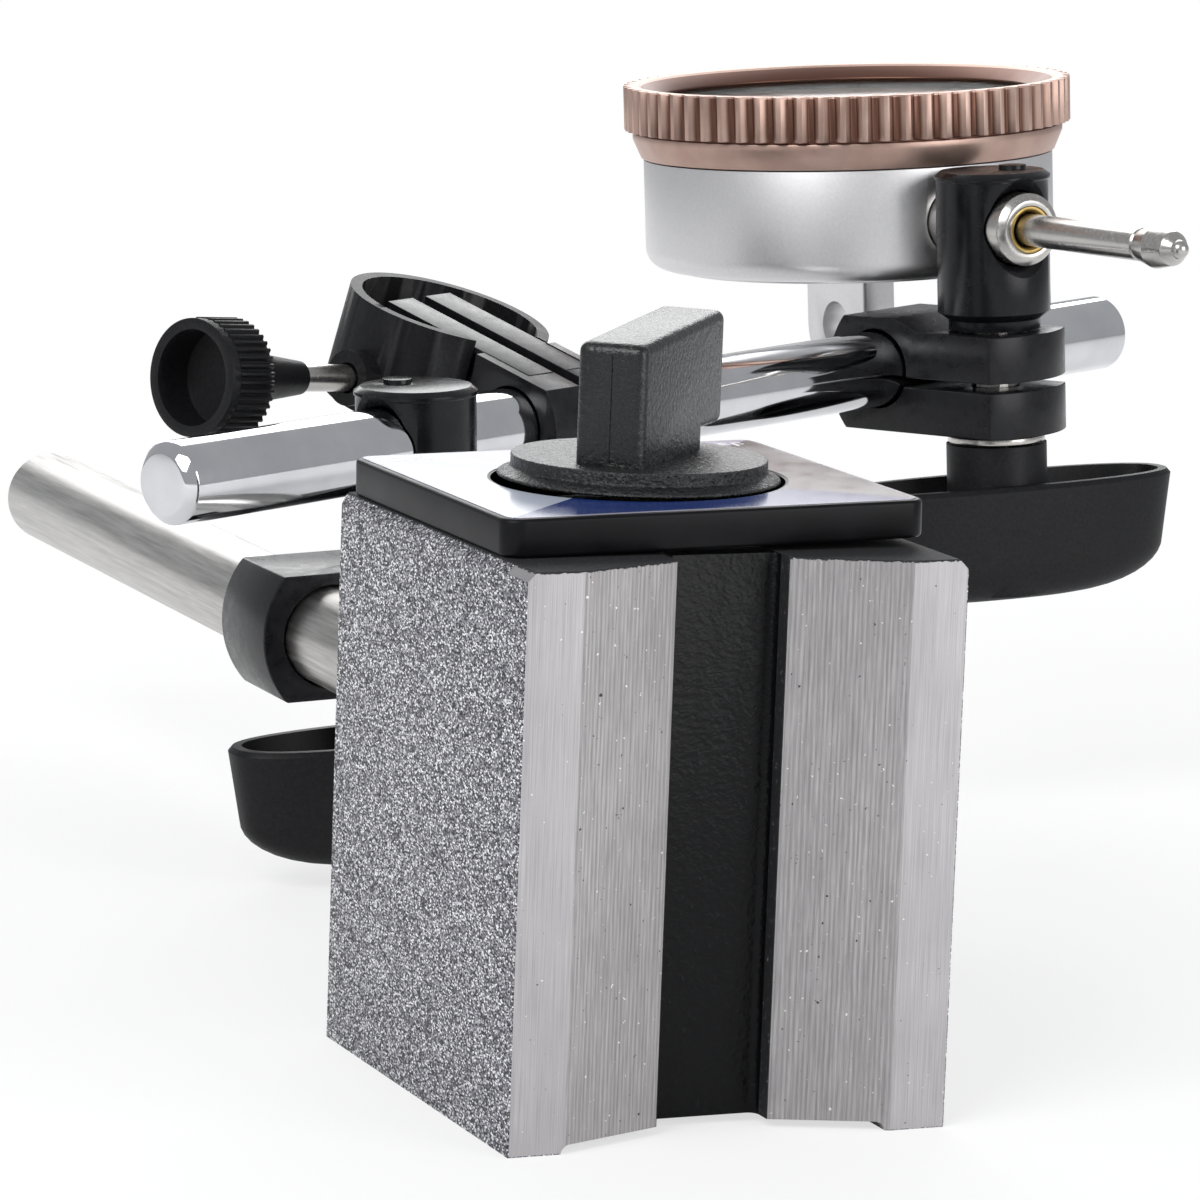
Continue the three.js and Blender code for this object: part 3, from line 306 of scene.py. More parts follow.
# hammer paint: silver flakes over dark pits, each about a third of a millimetre across
rolled = add(tree, "Mapping", {"Vector": place, "Scale": cells(0.17, 0.3, 0.17)})
crumbs = add(tree, "TexVoronoi", {"Vector": rolled, "Scale": 1.0})
crumb = add(tree, "SeparateXYZ", {"Vector": crumbs.outputs["Color"]})
flow = add(tree, "TexNoise", {"Vector": rolled, "Scale": 0.8, "Detail": 1.0})
flakes = add(tree, "Mix", {"Factor": 0.25, "A": crumb, "B": flow})
grey = add(tree, "ValToRGB", {"Fac": flakes}, stops=(
    (0.2, "#1f1f23"), (0.42, "#59585e"), (0.58, "#807e85"), (0.74, "#b3b2b8"), (0.84, "#fafafc")))
# black paint: on the top, and where it has run into the channel, with grit under it
grit = add(tree, "TexNoise", {
    "Vector": place, "Scale": 1 / (0.5 * MM), "Detail": 4.0, "Roughness": 0.7})
soot = add(tree, "ValToRGB", {"Fac": grit},
           stops=((0.5, "#111214"), (0.64, "#26262a"), (0.72, "#77777b")))
# grinding: lines along the height, fractions of a millimetre apart and tens long, coarser on
# the slopes than on the lands; a wave of this scale has one band to a cell
wave_scale = 0.314
fine_cells = add(tree, "Mapping", {"Vector": place, "Scale": cells(0.12, 0.12, 12)})
coarse_cells = add(tree, "Mapping", {"Vector": place, "Scale": cells(0.5, 0.5, 14)})
fine = add(tree, "TexNoise", {
    "Vector": fine_cells, "Scale": 1.0, "Detail": 3.0, "Roughness": 0.6})
passes = add(tree, "TexWave", {
    "Vector": coarse_cells, "Scale": wave_scale, "Distortion": 2.5, "Detail": 3.0,
    "Detail Scale": 1.5})
dragged = add(tree, "TexNoise", {
    "Vector": coarse_cells, "Scale": 2.5, "Detail": 3.0, "Roughness": 0.7})
coarse = add(tree, "MapRange", {
    "Value": passes.outputs["Fac"], "To Min": 0.34, "To Max": 0.66})
coarse = add(tree, "Mix", {"Factor": 0.6, "A": coarse, "B": dragged})
even = add(tree, "Mix", {"Factor": 0.45, "A": 0.6, "B": fine})
apart = add(tree, "SeparateXYZ", {"Vector": place})
from_middle = add(tree, "Math", {0: apart.outputs["X"]}, operation="ABSOLUTE")
on_slope = add(tree, "Math", {
    0: from_middle, 1: (half - land_width) * MM}, operation="LESS_THAN")
lines = add(tree, "Mix", {"Factor": on_slope, "A": even, "B": coarse})
broad = add(tree, "Mapping", {"Vector": place, "Scale": cells(7, 7, 13)})
clouds = add(tree, "TexNoise", {
    "Vector": broad, "Scale": 1.0, "Detail": 4.0, "Roughness": 0.6})
mixed = add(tree, "Math", {0: clouds, 1: 0.16, 2: lines}, operation="MULTIPLY_ADD")
bright = add(tree, "ValToRGB", {"Fac": mixed},
             stops=((0.4, "#8f8d8e"), (0.58, "#a8a5a8"), (0.76, "#c2c0c1")))
bright = add(tree, "Mix", {"Factor": on_slope, "A": bright, "B": linear("#fbfbf8")},
             data_type="RGBA", blend_type="MULTIPLY")
# dark specks and bright burrs, at the two ends of one grain
specks = add(tree, "TexNoise", {"Vector": place, "Scale": 1 / (0.6 * MM), "Detail": 2.0})
for start, end, tone in ((0.72, 0.76, "#4a4745"), (0.28, 0.25, "#e9e7e4")):
    share = add(tree, "MapRange", {"Value": specks, "From Min": start, "From Max": end})
    bright = add(tree, "Mix", {"Factor": share, "A": bright, "B": linear(tone)}, data_type="RGBA")
# where each finish lies: black at the channel's wall and above a ragged line near the top, and
# ground on the rest of the front, but for a thin rim
side_rim, foot_rim, wall_rim, top_rim, ragged_rim = 0.12, 0.1, 0.1, 0.05, 0.35
off_wall = add(tree, "Math", {
    0: from_middle, 1: (channel_half + wall_rim) * MM}, operation="GREATER_THAN")
ragged = add(tree, "MapRange", {
    "Value": grit, "From Min": 0.3, "From Max": 0.7,
    "To Min": (block_high.z - top_rim) * MM, "To Max": (block_high.z - ragged_rim) * MM})
under_top = add(tree, "Math", {0: apart.outputs["Z"], 1: ragged}, operation="LESS_THAN")
clean = add(tree, "Math", {0: off_wall, 1: under_top}, operation="MULTIPLY")
sooty = add(tree, "Math", {0: 1.0, 1: clean}, operation="SUBTRACT")
ground = clean
for way, along, limit in (
        ("LESS_THAN", apart.outputs["Y"], block_front + ground_depth),
        ("LESS_THAN", from_middle, half - side_rim),
        ("GREATER_THAN", apart.outputs["Z"], foot_rim)):
    within = add(tree, "Math", {0: along, 1: limit * MM}, operation=way)
    ground = add(tree, "Math", {0: ground, 1: within}, operation="MULTIPLY")
paint = add(tree, "Mix", {"Factor": sooty, "A": grey, "B": soot}, data_type="RGBA")
colour = add(tree, "Mix", {"Factor": ground, "A": paint, "B": bright}, data_type="RGBA")
flaky = add(tree, "Math", {0: 0.6, 1: sooty}, operation="SUBTRACT")
metal = add(tree, "Math", {0: ground, 1: flaky}, operation="MAXIMUM")
dull = add(tree, "MapRange", {
    "Value": flakes, "From Min": 0.3, "From Max": 0.7, "To Min": 0.55, "To Max": 0.3})
keen = add(tree, "MapRange", {
    "Value": lines, "From Min": 0.3, "From Max": 0.7, "To Min": 0.55, "To Max": 0.45})
gloss = add(tree, "Mix", {"Factor": ground, "A": dull, "B": keen})
gloss = add(tree, "Mix", {"Factor": sooty, "A": gloss, "B": 0.75})
relief = add(tree, "Mix", {"Factor": ground, "A": flakes, "B": lines})
depth = add(tree, "MapRange", {"Value": ground, "To Min": 0.035 * MM, "To Max": 0.005 * MM})
bump = add(tree, "Bump", {"Strength": 1.0, "Distance": depth, "Height": relief})
feed(shader, {"Base Color": colour, "Metallic": metal, "Roughness": gloss, "Normal": bump})

seam = math.degrees(math.acos(channel_half / bore_radius))
back_edge, top_edge, past = 0.8, 1.1, 1
relief_rise, relief_round, relief_depth, relief_right, relief_left = 0.9, 1, 13, 17.8, -18.7
plan = [
    (channel_half, block_front + slope_fall), (half - land_width, block_front),
    (half, block_front), (half, block_back - back_edge), (half - back_edge, block_back),
    (channel_half, block_back), *arc((0, bore_y), bore_radius, seam, -seam, 48)]


def end_relief():
    """The tool that clears the middle of the end face, round at its upper corners."""
    middle_y = relief_rise - relief_round
    outline = [(relief_left, -past)]
    outline += arc((relief_left + relief_round, middle_y), relief_round, 180, 90, 8)
    outline += arc((relief_right - relief_round, middle_y), relief_round, 90, 0, 8)
    outline += [(relief_right, -past)]
    return raised("relief_tool", outline, -block_front - relief_depth, past - block_front,
                  turned(90, "X"))


for side, sign in (("right", 1), ("left", -1)):
    pole = raised(f"magnet_pole_{side}", [(sign * x, y) for x, y in plan],
                  block_low.z, block_high.z)
    wedge = raised("edge_tool", [
        (sign * (half - top_edge - past), block_high.z + past),
        (sign * (half + past), block_high.z - top_edge - past),
        (sign * (half + past), block_high.z + past),
    ], block_front - past, past - block_front, turned(90, "X"))
    softened(carved(pole, wedge, end_relief()), 0.08, 2, 15)
    stands_for(pole, hammered, "base", "pole_steel", f"pole_{side}")


# Separators: cast spacers between the poles, under thick black brushed paint that has run
# into small drops in the front channel.
def copied(node, name):
    """A copy of a solid with its loose corners merged and its flat faces made whole."""
    alone(frame["nodes"][node])
    bpy.ops.object.duplicate()
    piece = bpy.context.object
    bpy.ops.object.parent_clear(type="CLEAR")
    for key in list(piece.keys()):
        del piece[key]
    piece.name = name
    bpy.ops.object.mode_set(mode="EDIT")
    bpy.ops.mesh.select_all(action="SELECT")
    bpy.ops.mesh.remove_doubles(threshold=0.001 * MM)
    bpy.ops.mesh.dissolve_limited(angle_limit=math.radians(0.5))
    return outwards(piece)


def mottled(name, patch, noise, tones, gloss, rest, stretch=(1, 1, 1)):
    """A finish whose colour wanders over patches of a real size in millimetres, and its gloss
    too where it has two values. Gives the material, its tree, its shader and the pattern."""
    material, tree, shader = new_material(name, rest)
    place = add(tree, "TexCoord", {}).outputs["Object"]
    drawn_out = add(tree, "Mapping", {"Vector": place, "Scale": [1 / s for s in stretch]})
    pattern = add(tree, "TexNoise", {"Vector": drawn_out, "Scale": 1 / (patch * MM), **noise})
    if tones:
        feed(shader, {"Base Color": add(tree, "ValToRGB", {"Fac": pattern}, stops=tones)})
    if isinstance(gloss, tuple):
        gloss = add(tree, "MapRange", {
            "Value": pattern, "From Min": 0.3, "From Max": 0.7,
            "To Min": gloss[0], "To Max": gloss[1]})
    feed(shader, {"Roughness": gloss})
    return material, tree, shader, pattern


black_paint, tree, shader, lumps = mottled(
    "separator_paint thick black enamel", 0.7, {"Detail": 4.0, "Roughness": 0.6},
    ((0.35, "#060607"), (0.66, "#0b0c0e"), (0.8, "#2c2d31")), 0.27, {"Specular IOR Level": 0.15})
place = add(tree, "TexCoord", {}).outputs["Object"]
runs = add(tree, "Mapping", {"Vector": place, "Scale": cells(2.2, 2.2, 5)})
drops = add(tree, "TexVoronoi", {
    "Vector": runs, "Scale": 1.0, "Smoothness": 0.4}, feature="SMOOTH_F1")
height = add(tree, "Math", {0: drops, 1: -0.5, 2: lumps}, operation="MULTIPLY_ADD")
bump = add(tree, "Bump", {"Strength": 1.0, "Distance": 0.13 * MM, "Height": height})
feed(shader, {"Normal": bump})
fillet, floor_y = 1, block_front + channel_depth
spacer_plan = [
    *arc((fillet - channel_half, floor_y - fillet), fillet, 180, 90, 6),
    *arc((channel_half - fillet, floor_y - fillet), fillet, 90, 0, 6),
    *arc((0, bore_y), bore_radius, -seam, seam - 180, 24)]
front_spacer = raised("pole_spacer_front", spacer_plan, block_low.z, block_high.z)
carved(front_spacer, end_relief())
back_spacer = copied("separator_back", "pole_spacer_back")
for side, spacer in (("front", front_spacer), ("back", back_spacer)):
    softened(spacer, 0.1)
    stands_for(spacer, black_paint, "base", "separator_paint", f"separator_{side}")

# Bore covers, the inserts of the wing knobs, and the movement's bridge and wheel:
# free-cutting brass, turned, left bare.
turned_brass, *_ = mottled(
    "brass_parts turned brass", 4, {"Detail": 4.0},
    ((0.3, "#927841"), (0.7, "#c6ab6e")), 0.32, {"Metallic": 1})
for node in ("bore_cover_lower", "bore_cover_upper", "lower_knob_insert", "upper_knob_insert",
             "movement_bridge", "drive_gear"):
    painted(frame["nodes"][node], turned_brass)

# Rotor: a sintered ferrite magnet, dull black and slightly grainy, inside the bore.
ferrite, *_ = mottled(
    "magnet sintered ferrite", 0.4, {"Detail": 3.0},
    ((0.3, "#1d1d1f"), (0.7, "#3a3a3d")), 0.75, {})
painted(frame["nodes"]["magnet_rotor"], ferrite)

# Plain turned steel: shaft, studs, rivet and arbors here, and washers, stem, spindle and thumb
# screw further on. It is bright, with a faint mottle that the tool and the polish leave.
turned_steel, *_ = mottled(
    "plain_steel turned and polished", 0.5, {"Detail": 5.0, "Roughness": 0.7},
    ((0.3, "#b3b0ac"), (0.7, "#cbc8c4")), (0.22, 0.28), {"Metallic": 1})
for node in ("rotor_shaft", "lower_stud", "upper_stud", "drum_rivet", "centre_arbor",
             "counter_arbor"):
    painted(frame["nodes"][node], turned_steel)


# Main post: a drawn steel bar, centreless ground to a satin finish, screwed into the block.
def placed(origin, along_x, along_z):
    """The matrix at an origin, with Z along one direction and X as near as it can be to another."""
    z = Vector(along_z).normalized()
    x = Vector(along_x)
    x = (x - z * x.dot(z)).normalized()
    return Matrix.Translation(Vector(origin)) @ Matrix((x, z.cross(x), z)).transposed().to_4x4()


def moved(x=0, y=0, z=0):
    """A shift in millimetres."""
    return Matrix.Translation((x * MM, y * MM, z * MM))


def settled(piece, place):
    """Puts a piece at its place and leaves its object at the origin."""
    piece.matrix_world = place @ piece.matrix_world
    alone(piece)
    bpy.ops.object.transform_apply(location=True, rotation=True, scale=True)
    return piece


def spun(name, profile, steps=96, place=Matrix()):
    """A closed turned piece: a profile of (radius, height) in millimetres spun about Z."""
    piece = drawn(name, [(radius, 0, height) for radius, height in profile])
    bpy.ops.mesh.spin(steps=steps, angle=2 * math.pi, center=(0, 0, 0), axis=(0, 0, 1))
    bpy.ops.mesh.select_all(action="SELECT")
    bpy.ops.mesh.remove_doubles(threshold=0.001 * MM)
    return outwards(piece, place)


post_middle = (span("main_post")[0].z + span("main_post")[1].z) / 2
post_place = placed((0, 0, post_middle * MM), (1, 0, 0), (0, 1, 0))
low, high = span("main_post", post_place)
post_radius, spigot_radius, spigot_length, post_chamfer = high.x, 3.9, 7, 1.3
post = spun("main_post_bar", [
    (0, low.z), (spigot_radius, low.z), (spigot_radius, low.z + spigot_length),
    (post_radius, low.z + spigot_length), (post_radius, high.z - post_chamfer),
    (post_radius - post_chamfer, high.z), (0, high.z)])
softened(settled(post, post_place), 0.15)
satin_steel, *_ = mottled(
    "post_steel ground bar", 0.5, {"Detail": 5.0, "Roughness": 0.65},
    ((0.3, "#a3a19e"), (0.7, "#d2d0cd")), (0.28, 0.4), {"Metallic": 1}, stretch=(1, 28, 1))
stands_for(post, satin_steel, "base", "post_steel", "main_post")


# Label plate: a moulded black surround under a glossy printed sheet of four fields that meet
# under the switch. It is pressed over the block's top and sits a little high at its right.
def peg(name, radius, low, high, place=Matrix(), steps=96):
    """A solid round bar along Z, as a boss or as the tool for a hole."""
    return spun(name, [(0, low), (radius, low), (radius, high), (0, high)], steps, place)


def plate_outline(inset):
    """The plate's outline with round corners, set in from its edge."""
    x_ends = (plate_corner, 2 * plate_half - plate_corner)
    y_ends = (plate_front + plate_corner, plate_rear - plate_corner)
    outline = []
    for quarter, (x, y) in enumerate(((1, 1), (0, 1), (0, 0), (1, 0))):
        outline += arc((x_ends[x], y_ends[y]), plate_corner - inset, 90 * quarter,
                       90 * quarter + 90, 10)
    return outline


plate_tilt, plate_half, plate_front, plate_rear = 1.15, 23.6, -19, 26.2
plate_corner, plate_thickness, plate_hole = 2.2, 4, 15.6
sheet_inset, sheet_lift, sheet_seat, sheet_hole = 0.7, 0.07, 0.1, 15.9
switch_y, through = 2.7, 9
plate_place = moved(-plate_half, 0, block_high.z) @ turned(-plate_tilt, "Y")
surround = raised("label_surround", plate_outline(0), 0, plate_thickness)
softened(surround, 0.45, 3, 60)
sheet = raised("label_sheet", plate_outline(sheet_inset), plate_thickness - sheet_seat,
               plate_thickness + sheet_lift)
for piece, hole in ((surround, plate_hole), (sheet, sheet_hole)):
    carved(piece, peg("hole_tool", hole, -through, through, moved(plate_half, switch_y), 128))
    smoothed(settled(piece, plate_place), 30)

moulded, *_ = mottled(
    "plate_plastic silky moulding", 5, {"Detail": 6.0},
    ((0.35, "#0d0d0f"), (0.7, "#151517")), (0.3, 0.38), {"Specular IOR Level": 0.12})
stands_for(surround, moulded, "base", "plate_plastic", "label_plate")

# the printed sheet: its two slanting lines run from corner to corner, inside a pale margin
printed, tree, shader, _ = mottled(
    "plate_plastic glossy printed sheet", 5, {"Detail": 6.0}, None, (0.12, 0.2),
    {"Specular IOR Level": 0.25})
place = add(tree, "TexCoord", {}).outputs["Object"]
centred = add(tree, "Mapping", {
    "Vector": place, "Location": (0, -(plate_rear + plate_front) / 2 * MM, 0)})
apart = add(tree, "SeparateXYZ", {"Vector": centred})
across = add(tree, "Math", {0: apart.outputs["X"]}, operation="ABSOLUTE")
along = add(tree, "Math", {0: apart.outputs["Y"]}, operation="ABSOLUTE")
slant = 2 * plate_half / (plate_rear - plate_front)
leaned = add(tree, "Math", {0: along, 1: slant}, operation="MULTIPLY")
at_end = add(tree, "Math", {0: leaned, 1: across}, operation="GREATER_THAN")
to_rear = add(tree, "Math", {0: apart.outputs["Y"], 1: 0.0}, operation="GREATER_THAN")
to_right = add(tree, "Math", {0: apart.outputs["X"], 1: 0.0}, operation="GREATER_THAN")
ends = add(tree, "Mix", {
    "Factor": to_rear, "A": linear("#1d3470"), "B": linear("#b9b4cd")}, data_type="RGBA")
flanks = add(tree, "Mix", {
    "Factor": to_right, "A": linear("#aeb5c3"), "B": linear("#5c5759")}, data_type="RGBA")
fields = add(tree, "Mix", {"Factor": at_end, "A": flanks, "B": ends}, data_type="RGBA")
margin = sheet_inset + 0.3
inside_x = add(tree, "Math", {
    0: across, 1: (plate_half - margin) * MM}, operation="LESS_THAN")
inside_y = add(tree, "Math", {
    0: along, 1: ((plate_rear - plate_front) / 2 - margin) * MM}, operation="LESS_THAN")
inside = add(tree, "Math", {0: inside_x, 1: inside_y}, operation="MULTIPLY")
feed(shader, {"Base Color": add(tree, "Mix", {
    "Factor": inside, "A": linear("#9c9aa6"), "B": fields}, data_type="RGBA")})
stands_for(sheet, printed, "base", "plate_plastic")


# Switch words: plain ON and OFF printed at the two places that the handle points to.
def lettered(name, words, height, lift, place, ink, body, slot):
    """Flat letters a hair above a face, as one mesh."""
    bpy.ops.object.select_all(action="DESELECT")
    bpy.ops.object.text_add()
    text = bpy.context.object.data
    text.body, text.align_x, text.align_y = words, "CENTER", "CENTER"
    text.size, text.extrude = height * MM, lift * MM / 2
    bpy.ops.object.convert(target="MESH")
    piece = bpy.context.object
    piece.name = name
    settled(piece, place @ moved(z=lift / 2))
    stands_for(piece, ink, body, slot)


word_ink, *_ = new_material(
    "plate_plastic printed words", {"Base Color": linear("#f2f2f4"), "Roughness": 0.25})
word_height, word_lift, word_y = 3.4, 0.02, plate_rear - 4
for words, x in (("ON", 5), ("OFF", 2 * plate_half - 5.5)):
    lettered(f"switch_word_{words.lower()}", words, word_height, word_lift,
             plate_place @ moved(x, word_y, plate_thickness + sheet_lift),
             word_ink, "base", "plate_plastic")


# Switch knob: one moulding of glass-filled nylon, coarsely spark-textured, with a parting
# line down the end of its handle. The handle overhangs its flange at the far end.
def box(x_low, y_low, x_high, y_high):
    """The corners of a rectangle."""
    return [(x_low, y_low), (x_high, y_low), (x_high, y_high), (x_low, y_high)]


lip_foot, lip_radius, lip_thickness = 64.6, 15, 0.7
flange_radius, flange_thickness = 13.6, 1.7
flange_top = lip_foot + lip_thickness + flange_thickness
handle_near, handle_far, handle_thick, handle_bearing = 9.8, 15.5, 7.6, 47
near_height, far_height, undercut_reach, undercut_rise = 12.8, 14.3, 9.3, 2
ridge_proud, ridge_half, ridge_root, ridge_end = 0.12, 0.14, 1, 1.2
knob = spun("turn_knob", [
    (0, lip_foot), (lip_radius, lip_foot), (lip_radius, lip_foot + lip_thickness / 2),
    (flange_radius + lip_thickness, lip_foot + lip_thickness),
    (flange_radius, lip_foot + 1.5 * lip_thickness), (flange_radius, flange_top), (0, flange_top),
], 128)
softened(knob, 0.6, 4)
handle = raised("handle", [
    (-handle_near, -flange_thickness), (undercut_reach, -flange_thickness),
    (undercut_reach, undercut_rise), (handle_far, undercut_rise), (handle_far, far_height),
    (-handle_near, near_height),
], -handle_thick / 2, handle_thick / 2)
softened(handle, 1.1, 5, 30)
ridge = box(-handle_near - ridge_proud, 0, ridge_root - handle_near, near_height - ridge_end)
carved(handle, raised("parting_ridge", ridge, -ridge_half, ridge_half), way="UNION")
settled(handle, moved(z=flange_top) @ turned(handle_bearing, "Z") @ turned(90, "X"))
carved(knob, handle, way="UNION")
smoothed(settled(knob, moved(y=switch_y)), 40)

# the skin: pebbles that the spark left in the mould, deeper round the flange
sparked, tree, shader, fine = mottled(
    "knob_plastic spark-textured nylon", 0.4, {"Detail": 3.0, "Roughness": 0.6},
    ((0.35, "#0a0b0c"), (0.7, "#17181a")), (0.34, 0.22), {})
place = add(tree, "TexCoord", {}).outputs["Object"]
pebbles = add(tree, "TexVoronoi", {
    "Vector": place, "Scale": 1 / (0.75 * MM), "Smoothness": 0.6}, feature="SMOOTH_F1")
skin = add(tree, "Math", {0: pebbles, 1: -0.5, 2: fine}, operation="MULTIPLY_ADD")
rise = add(tree, "SeparateXYZ", {"Vector": place})
deep = add(tree, "MapRange", {
    "Value": rise.outputs["Z"], "From Min": (flange_top - 0.2) * MM,
    "From Max": (flange_top + 1.2) * MM, "To Min": 0.24 * MM, "To Max": 0.09 * MM})
bump = add(tree, "Bump", {"Strength": 1.0, "Distance": deep, "Height": skin})
feed(shader, {"Normal": bump})
stands_for(knob, sparked, "switch", "knob_plastic", "switch_knob")

# Split clamps: steel blocks, milled and blackened, with a bore for the bar, a slot and a
# cross hole for the stud that pulls the slot shut. Each piece that moves takes its place from
# the frame's joints.
clamp_thick, clamp_corner, clamp_crown, clamp_slot = 15.5, 5.5, 8, 1.2
play, press, stud_radius, stud_reach = 0.25, 0.1, 3, 12


def split_clamp(name, place, bore, bolt_at, body_top, ear_top, bottom, back_reach, back_radius,
                hump):
    """The gripped bar lies along the place's X, and the stud stands at its -Y."""
    half, mid = (body_top - bottom) / 2, (body_top + bottom) / 2
    ear_end = bolt_at + clamp_crown
    sweep = math.degrees(math.asin(half / back_radius))
    outline = [(ear_end, bottom), (ear_end, ear_top), *hump]
    outline += arc((back_radius - back_reach, mid), back_radius, 180 - sweep, 180 + sweep)
    to_clamp = Matrix(((0, 0, -1, 0), (-1, 0, 0, 0), (0, 1, 0, 0), (0, 0, 0, 1)))
    clamp = raised(name, outline, -clamp_thick / 2, clamp_thick / 2, to_clamp)
    bulge = clamp_crown - clamp_corner
    crown_radius = (clamp_thick ** 2 / 4 + bulge ** 2) / (2 * bulge)
    reach = math.degrees(math.asin(clamp_thick / 2 / crown_radius))
    side, corner_y = clamp_thick / 2 + past, clamp_corner - ear_end + bulge
    crown = [(side, back_reach + past), (-side, back_reach + past), (-side, corner_y)]
    crown += arc((0, crown_radius - ear_end), crown_radius, -90 - reach, -90 + reach)
    crown += [(side, corner_y)]
    carved(clamp, raised("crown_tool", crown, bottom - past, body_top + past), way="INTERSECT")
    barrel = peg("bore_tool", bore + play, -through, through, turned(90, "Y"))
    stud = peg("stud_tool", stud_radius + play, -stud_reach, stud_reach, moved(y=-bolt_at))
    slot_mid = (ear_top + bottom) / 2
    slit = raised("slot_tool", box(-through, -ear_end - past, through, 0),
                  slot_mid - clamp_slot / 2, slot_mid + clamp_slot / 2)
    softened(carved(clamp, barrel, stud, slit), 0.35, 3)
    return settled(clamp, place)


joints = {joint["name"]: joint for joint in frame["joints"]}
rod_axis = Vector(joints["rod_in_barrel"]["axis"])


def at_joint(name, along_x):
    """A joint's place, with Z along its own axis."""
    return placed(joints[name]["pos_m"], along_x, joints[name]["axis"])


lower_bolt = at_joint("lower_swivel_turn", (1, 0, 0))
upper_bolt = at_joint("upper_swivel_turn", rod_axis)
lower_axis = joints["lower_swivel_turn"]["axis"]
lower_offset, upper_offset, rod_radius = 13.9, 14.1, 5
lower_bottom, upper_bottom, upper_top, upper_ear = -7.7, -8.2, 6.8, 5.2
post_bore_place = placed(lower_bolt @ Vector((-lower_offset * MM, 0, 0)), (0, 1, 0), lower_axis)

blackened, *_ = mottled(
    "clamp_black blackened steel", 1.5, {"Detail": 5.0, "Roughness": 0.65},
    ((0.3, "#0f0f11"), (0.7, "#1b1b1e")), (0.24, 0.36), {"Specular IOR Level": 0.25})
lower_clamp = split_clamp(
    "post_split_clamp", post_bore_place, bore=post_radius, bolt_at=lower_offset,
    body_top=-lower_bottom, ear_top=-lower_bottom, bottom=lower_bottom,
    back_reach=8.9, back_radius=11.7, hump=[])
stands_for(lower_clamp, blackened, "post_clamp", "clamp_black", "post_clamp")
upper_clamp = split_clamp(
    "rod_split_clamp", upper_bolt @ moved(y=upper_offset), bore=rod_radius, bolt_at=upper_offset,
    body_top=upper_top, ear_top=upper_ear, bottom=upper_bottom,
    back_reach=8.3, back_radius=11.4, hump=[(7.2, upper_ear), (3.6, upper_top)])
stands_for(upper_clamp, blackened, "head_clamp", "clamp_black", "rod_clamp")

# Swivel barrels: turned steel, blackened and glossy, cross-bored for the rod or the stem, with
# a small raised nub on the dome.
gloss_black, *_ = mottled(
    "barrel_black glossy blackened steel", 2.5, {"Detail": 4.0},
    ((0.3, "#0c0d0f"), (0.7, "#16171a")), (0.2, 0.3), {"Specular IOR Level": 0.25})
barrel_radius, neck_radius, neck_height, foot_rise = 7.4, 6, 1.3, 1
barrel_height, rim_height, rim_out, dome, hole_height = 20.7, 1.2, 0.2, 0.6, 13.5
nub_radius, nub_height, nub_offset, funnel = 1.8, 0.5, 3.2, 1.4
thread_depth, stem_radius = 6.7, 4.75


def swivel_barrel(name, place, hole_radius):
    """Stands on its place's XY plane with its cross hole along X."""
    barrel = spun(name, [
        (0, 0), (neck_radius, 0), (neck_radius, neck_height),
        (barrel_radius, neck_height + foot_rise), (barrel_radius, barrel_height - rim_height),
        (barrel_radius + rim_out, barrel_height - rim_height + rim_out),
        (barrel_radius + rim_out, barrel_height - dome), (barrel_radius - dome, barrel_height),
        (0, barrel_height)])
    nub = peg("nub", nub_radius, barrel_height - past, barrel_height + nub_height,
              moved(y=nub_offset), 48)
    carved(barrel, nub, way="UNION")
    radius = hole_radius + play
    mouth = spun("cross_tool", [
        (0, -barrel_radius - past), (radius + funnel + past, -barrel_radius - past),
        (radius, funnel - barrel_radius), (radius, barrel_radius - funnel),
        (radius + funnel + past, barrel_radius + past), (0, barrel_radius + past),
    ], place=moved(z=hole_height) @ turned(90, "Y"))
    thread = peg("thread_tool", stud_radius + press, -past, thread_depth, steps=48)
    softened(carved(barrel, mouth, thread), 0.16, 2, 25)
    return settled(barrel, place)


spindle_axis = Vector(joints["spindle_slide"]["axis"])
lower_seat, upper_seat = 8, 5.5
lower_seat_place = at_joint("lower_swivel_turn", rod_axis) @ moved(z=lower_seat)
upper_seat_place = at_joint("upper_swivel_turn", -spindle_axis) @ moved(z=upper_seat)
stands_for(swivel_barrel("rod_barrel", lower_seat_place, rod_radius),
           gloss_black, "lower_swivel", "barrel_black", "lower_barrel")
stands_for(swivel_barrel("stem_barrel", upper_seat_place, stem_radius),
           gloss_black, "upper_swivel", "barrel_black", "upper_barrel")

# Washers: pressed steel rings on the studs, between clamp and knob.
for level, body in (("lower", "post_clamp"), ("upper", "head_clamp")):
    pose = at_joint(f"{level}_swivel_turn", rod_axis)
    low, high = span(f"{level}_washer", pose)
    washer_bore = stud_radius + play
    ring = spun(f"{level}_washer_ring", [
        (washer_bore, low.z), (high.x, low.z), (high.x, high.z), (washer_bore, high.z),
        (washer_bore, low.z)])
    softened(settled(ring, pose), 0.12)
    stands_for(ring, turned_steel, body, "plain_steel", f"{level}_washer")

# Wing knobs: hollow boats moulded in matt black nylon, with a hub on the stud and one web
# along the middle; the brass insert is moulded into the hub.
wing_length, wing_width, wing_height, wing_end = 25, 8.3, 15.4, 9.2
wing_wall, wing_floor, keel_length, keel_width = 1.7, 2.4, 9, 3.4
hub_radius, hub_rise, web_thick, web_drop, wing_round = 6.6, 5, 1.6, 1.5, 0.6
insert_radius, insert_depth, wing_gap = 4.4, 9.3, 1.4
wing_draft = math.tan(math.radians(8))
boat_power, boat_points, keel_steps = 2 / 2.5, 96, 10
end_length, end_width = wing_length - wing_end * wing_draft, wing_width - wing_end * wing_draft
inner_floor = wing_floor - wing_height


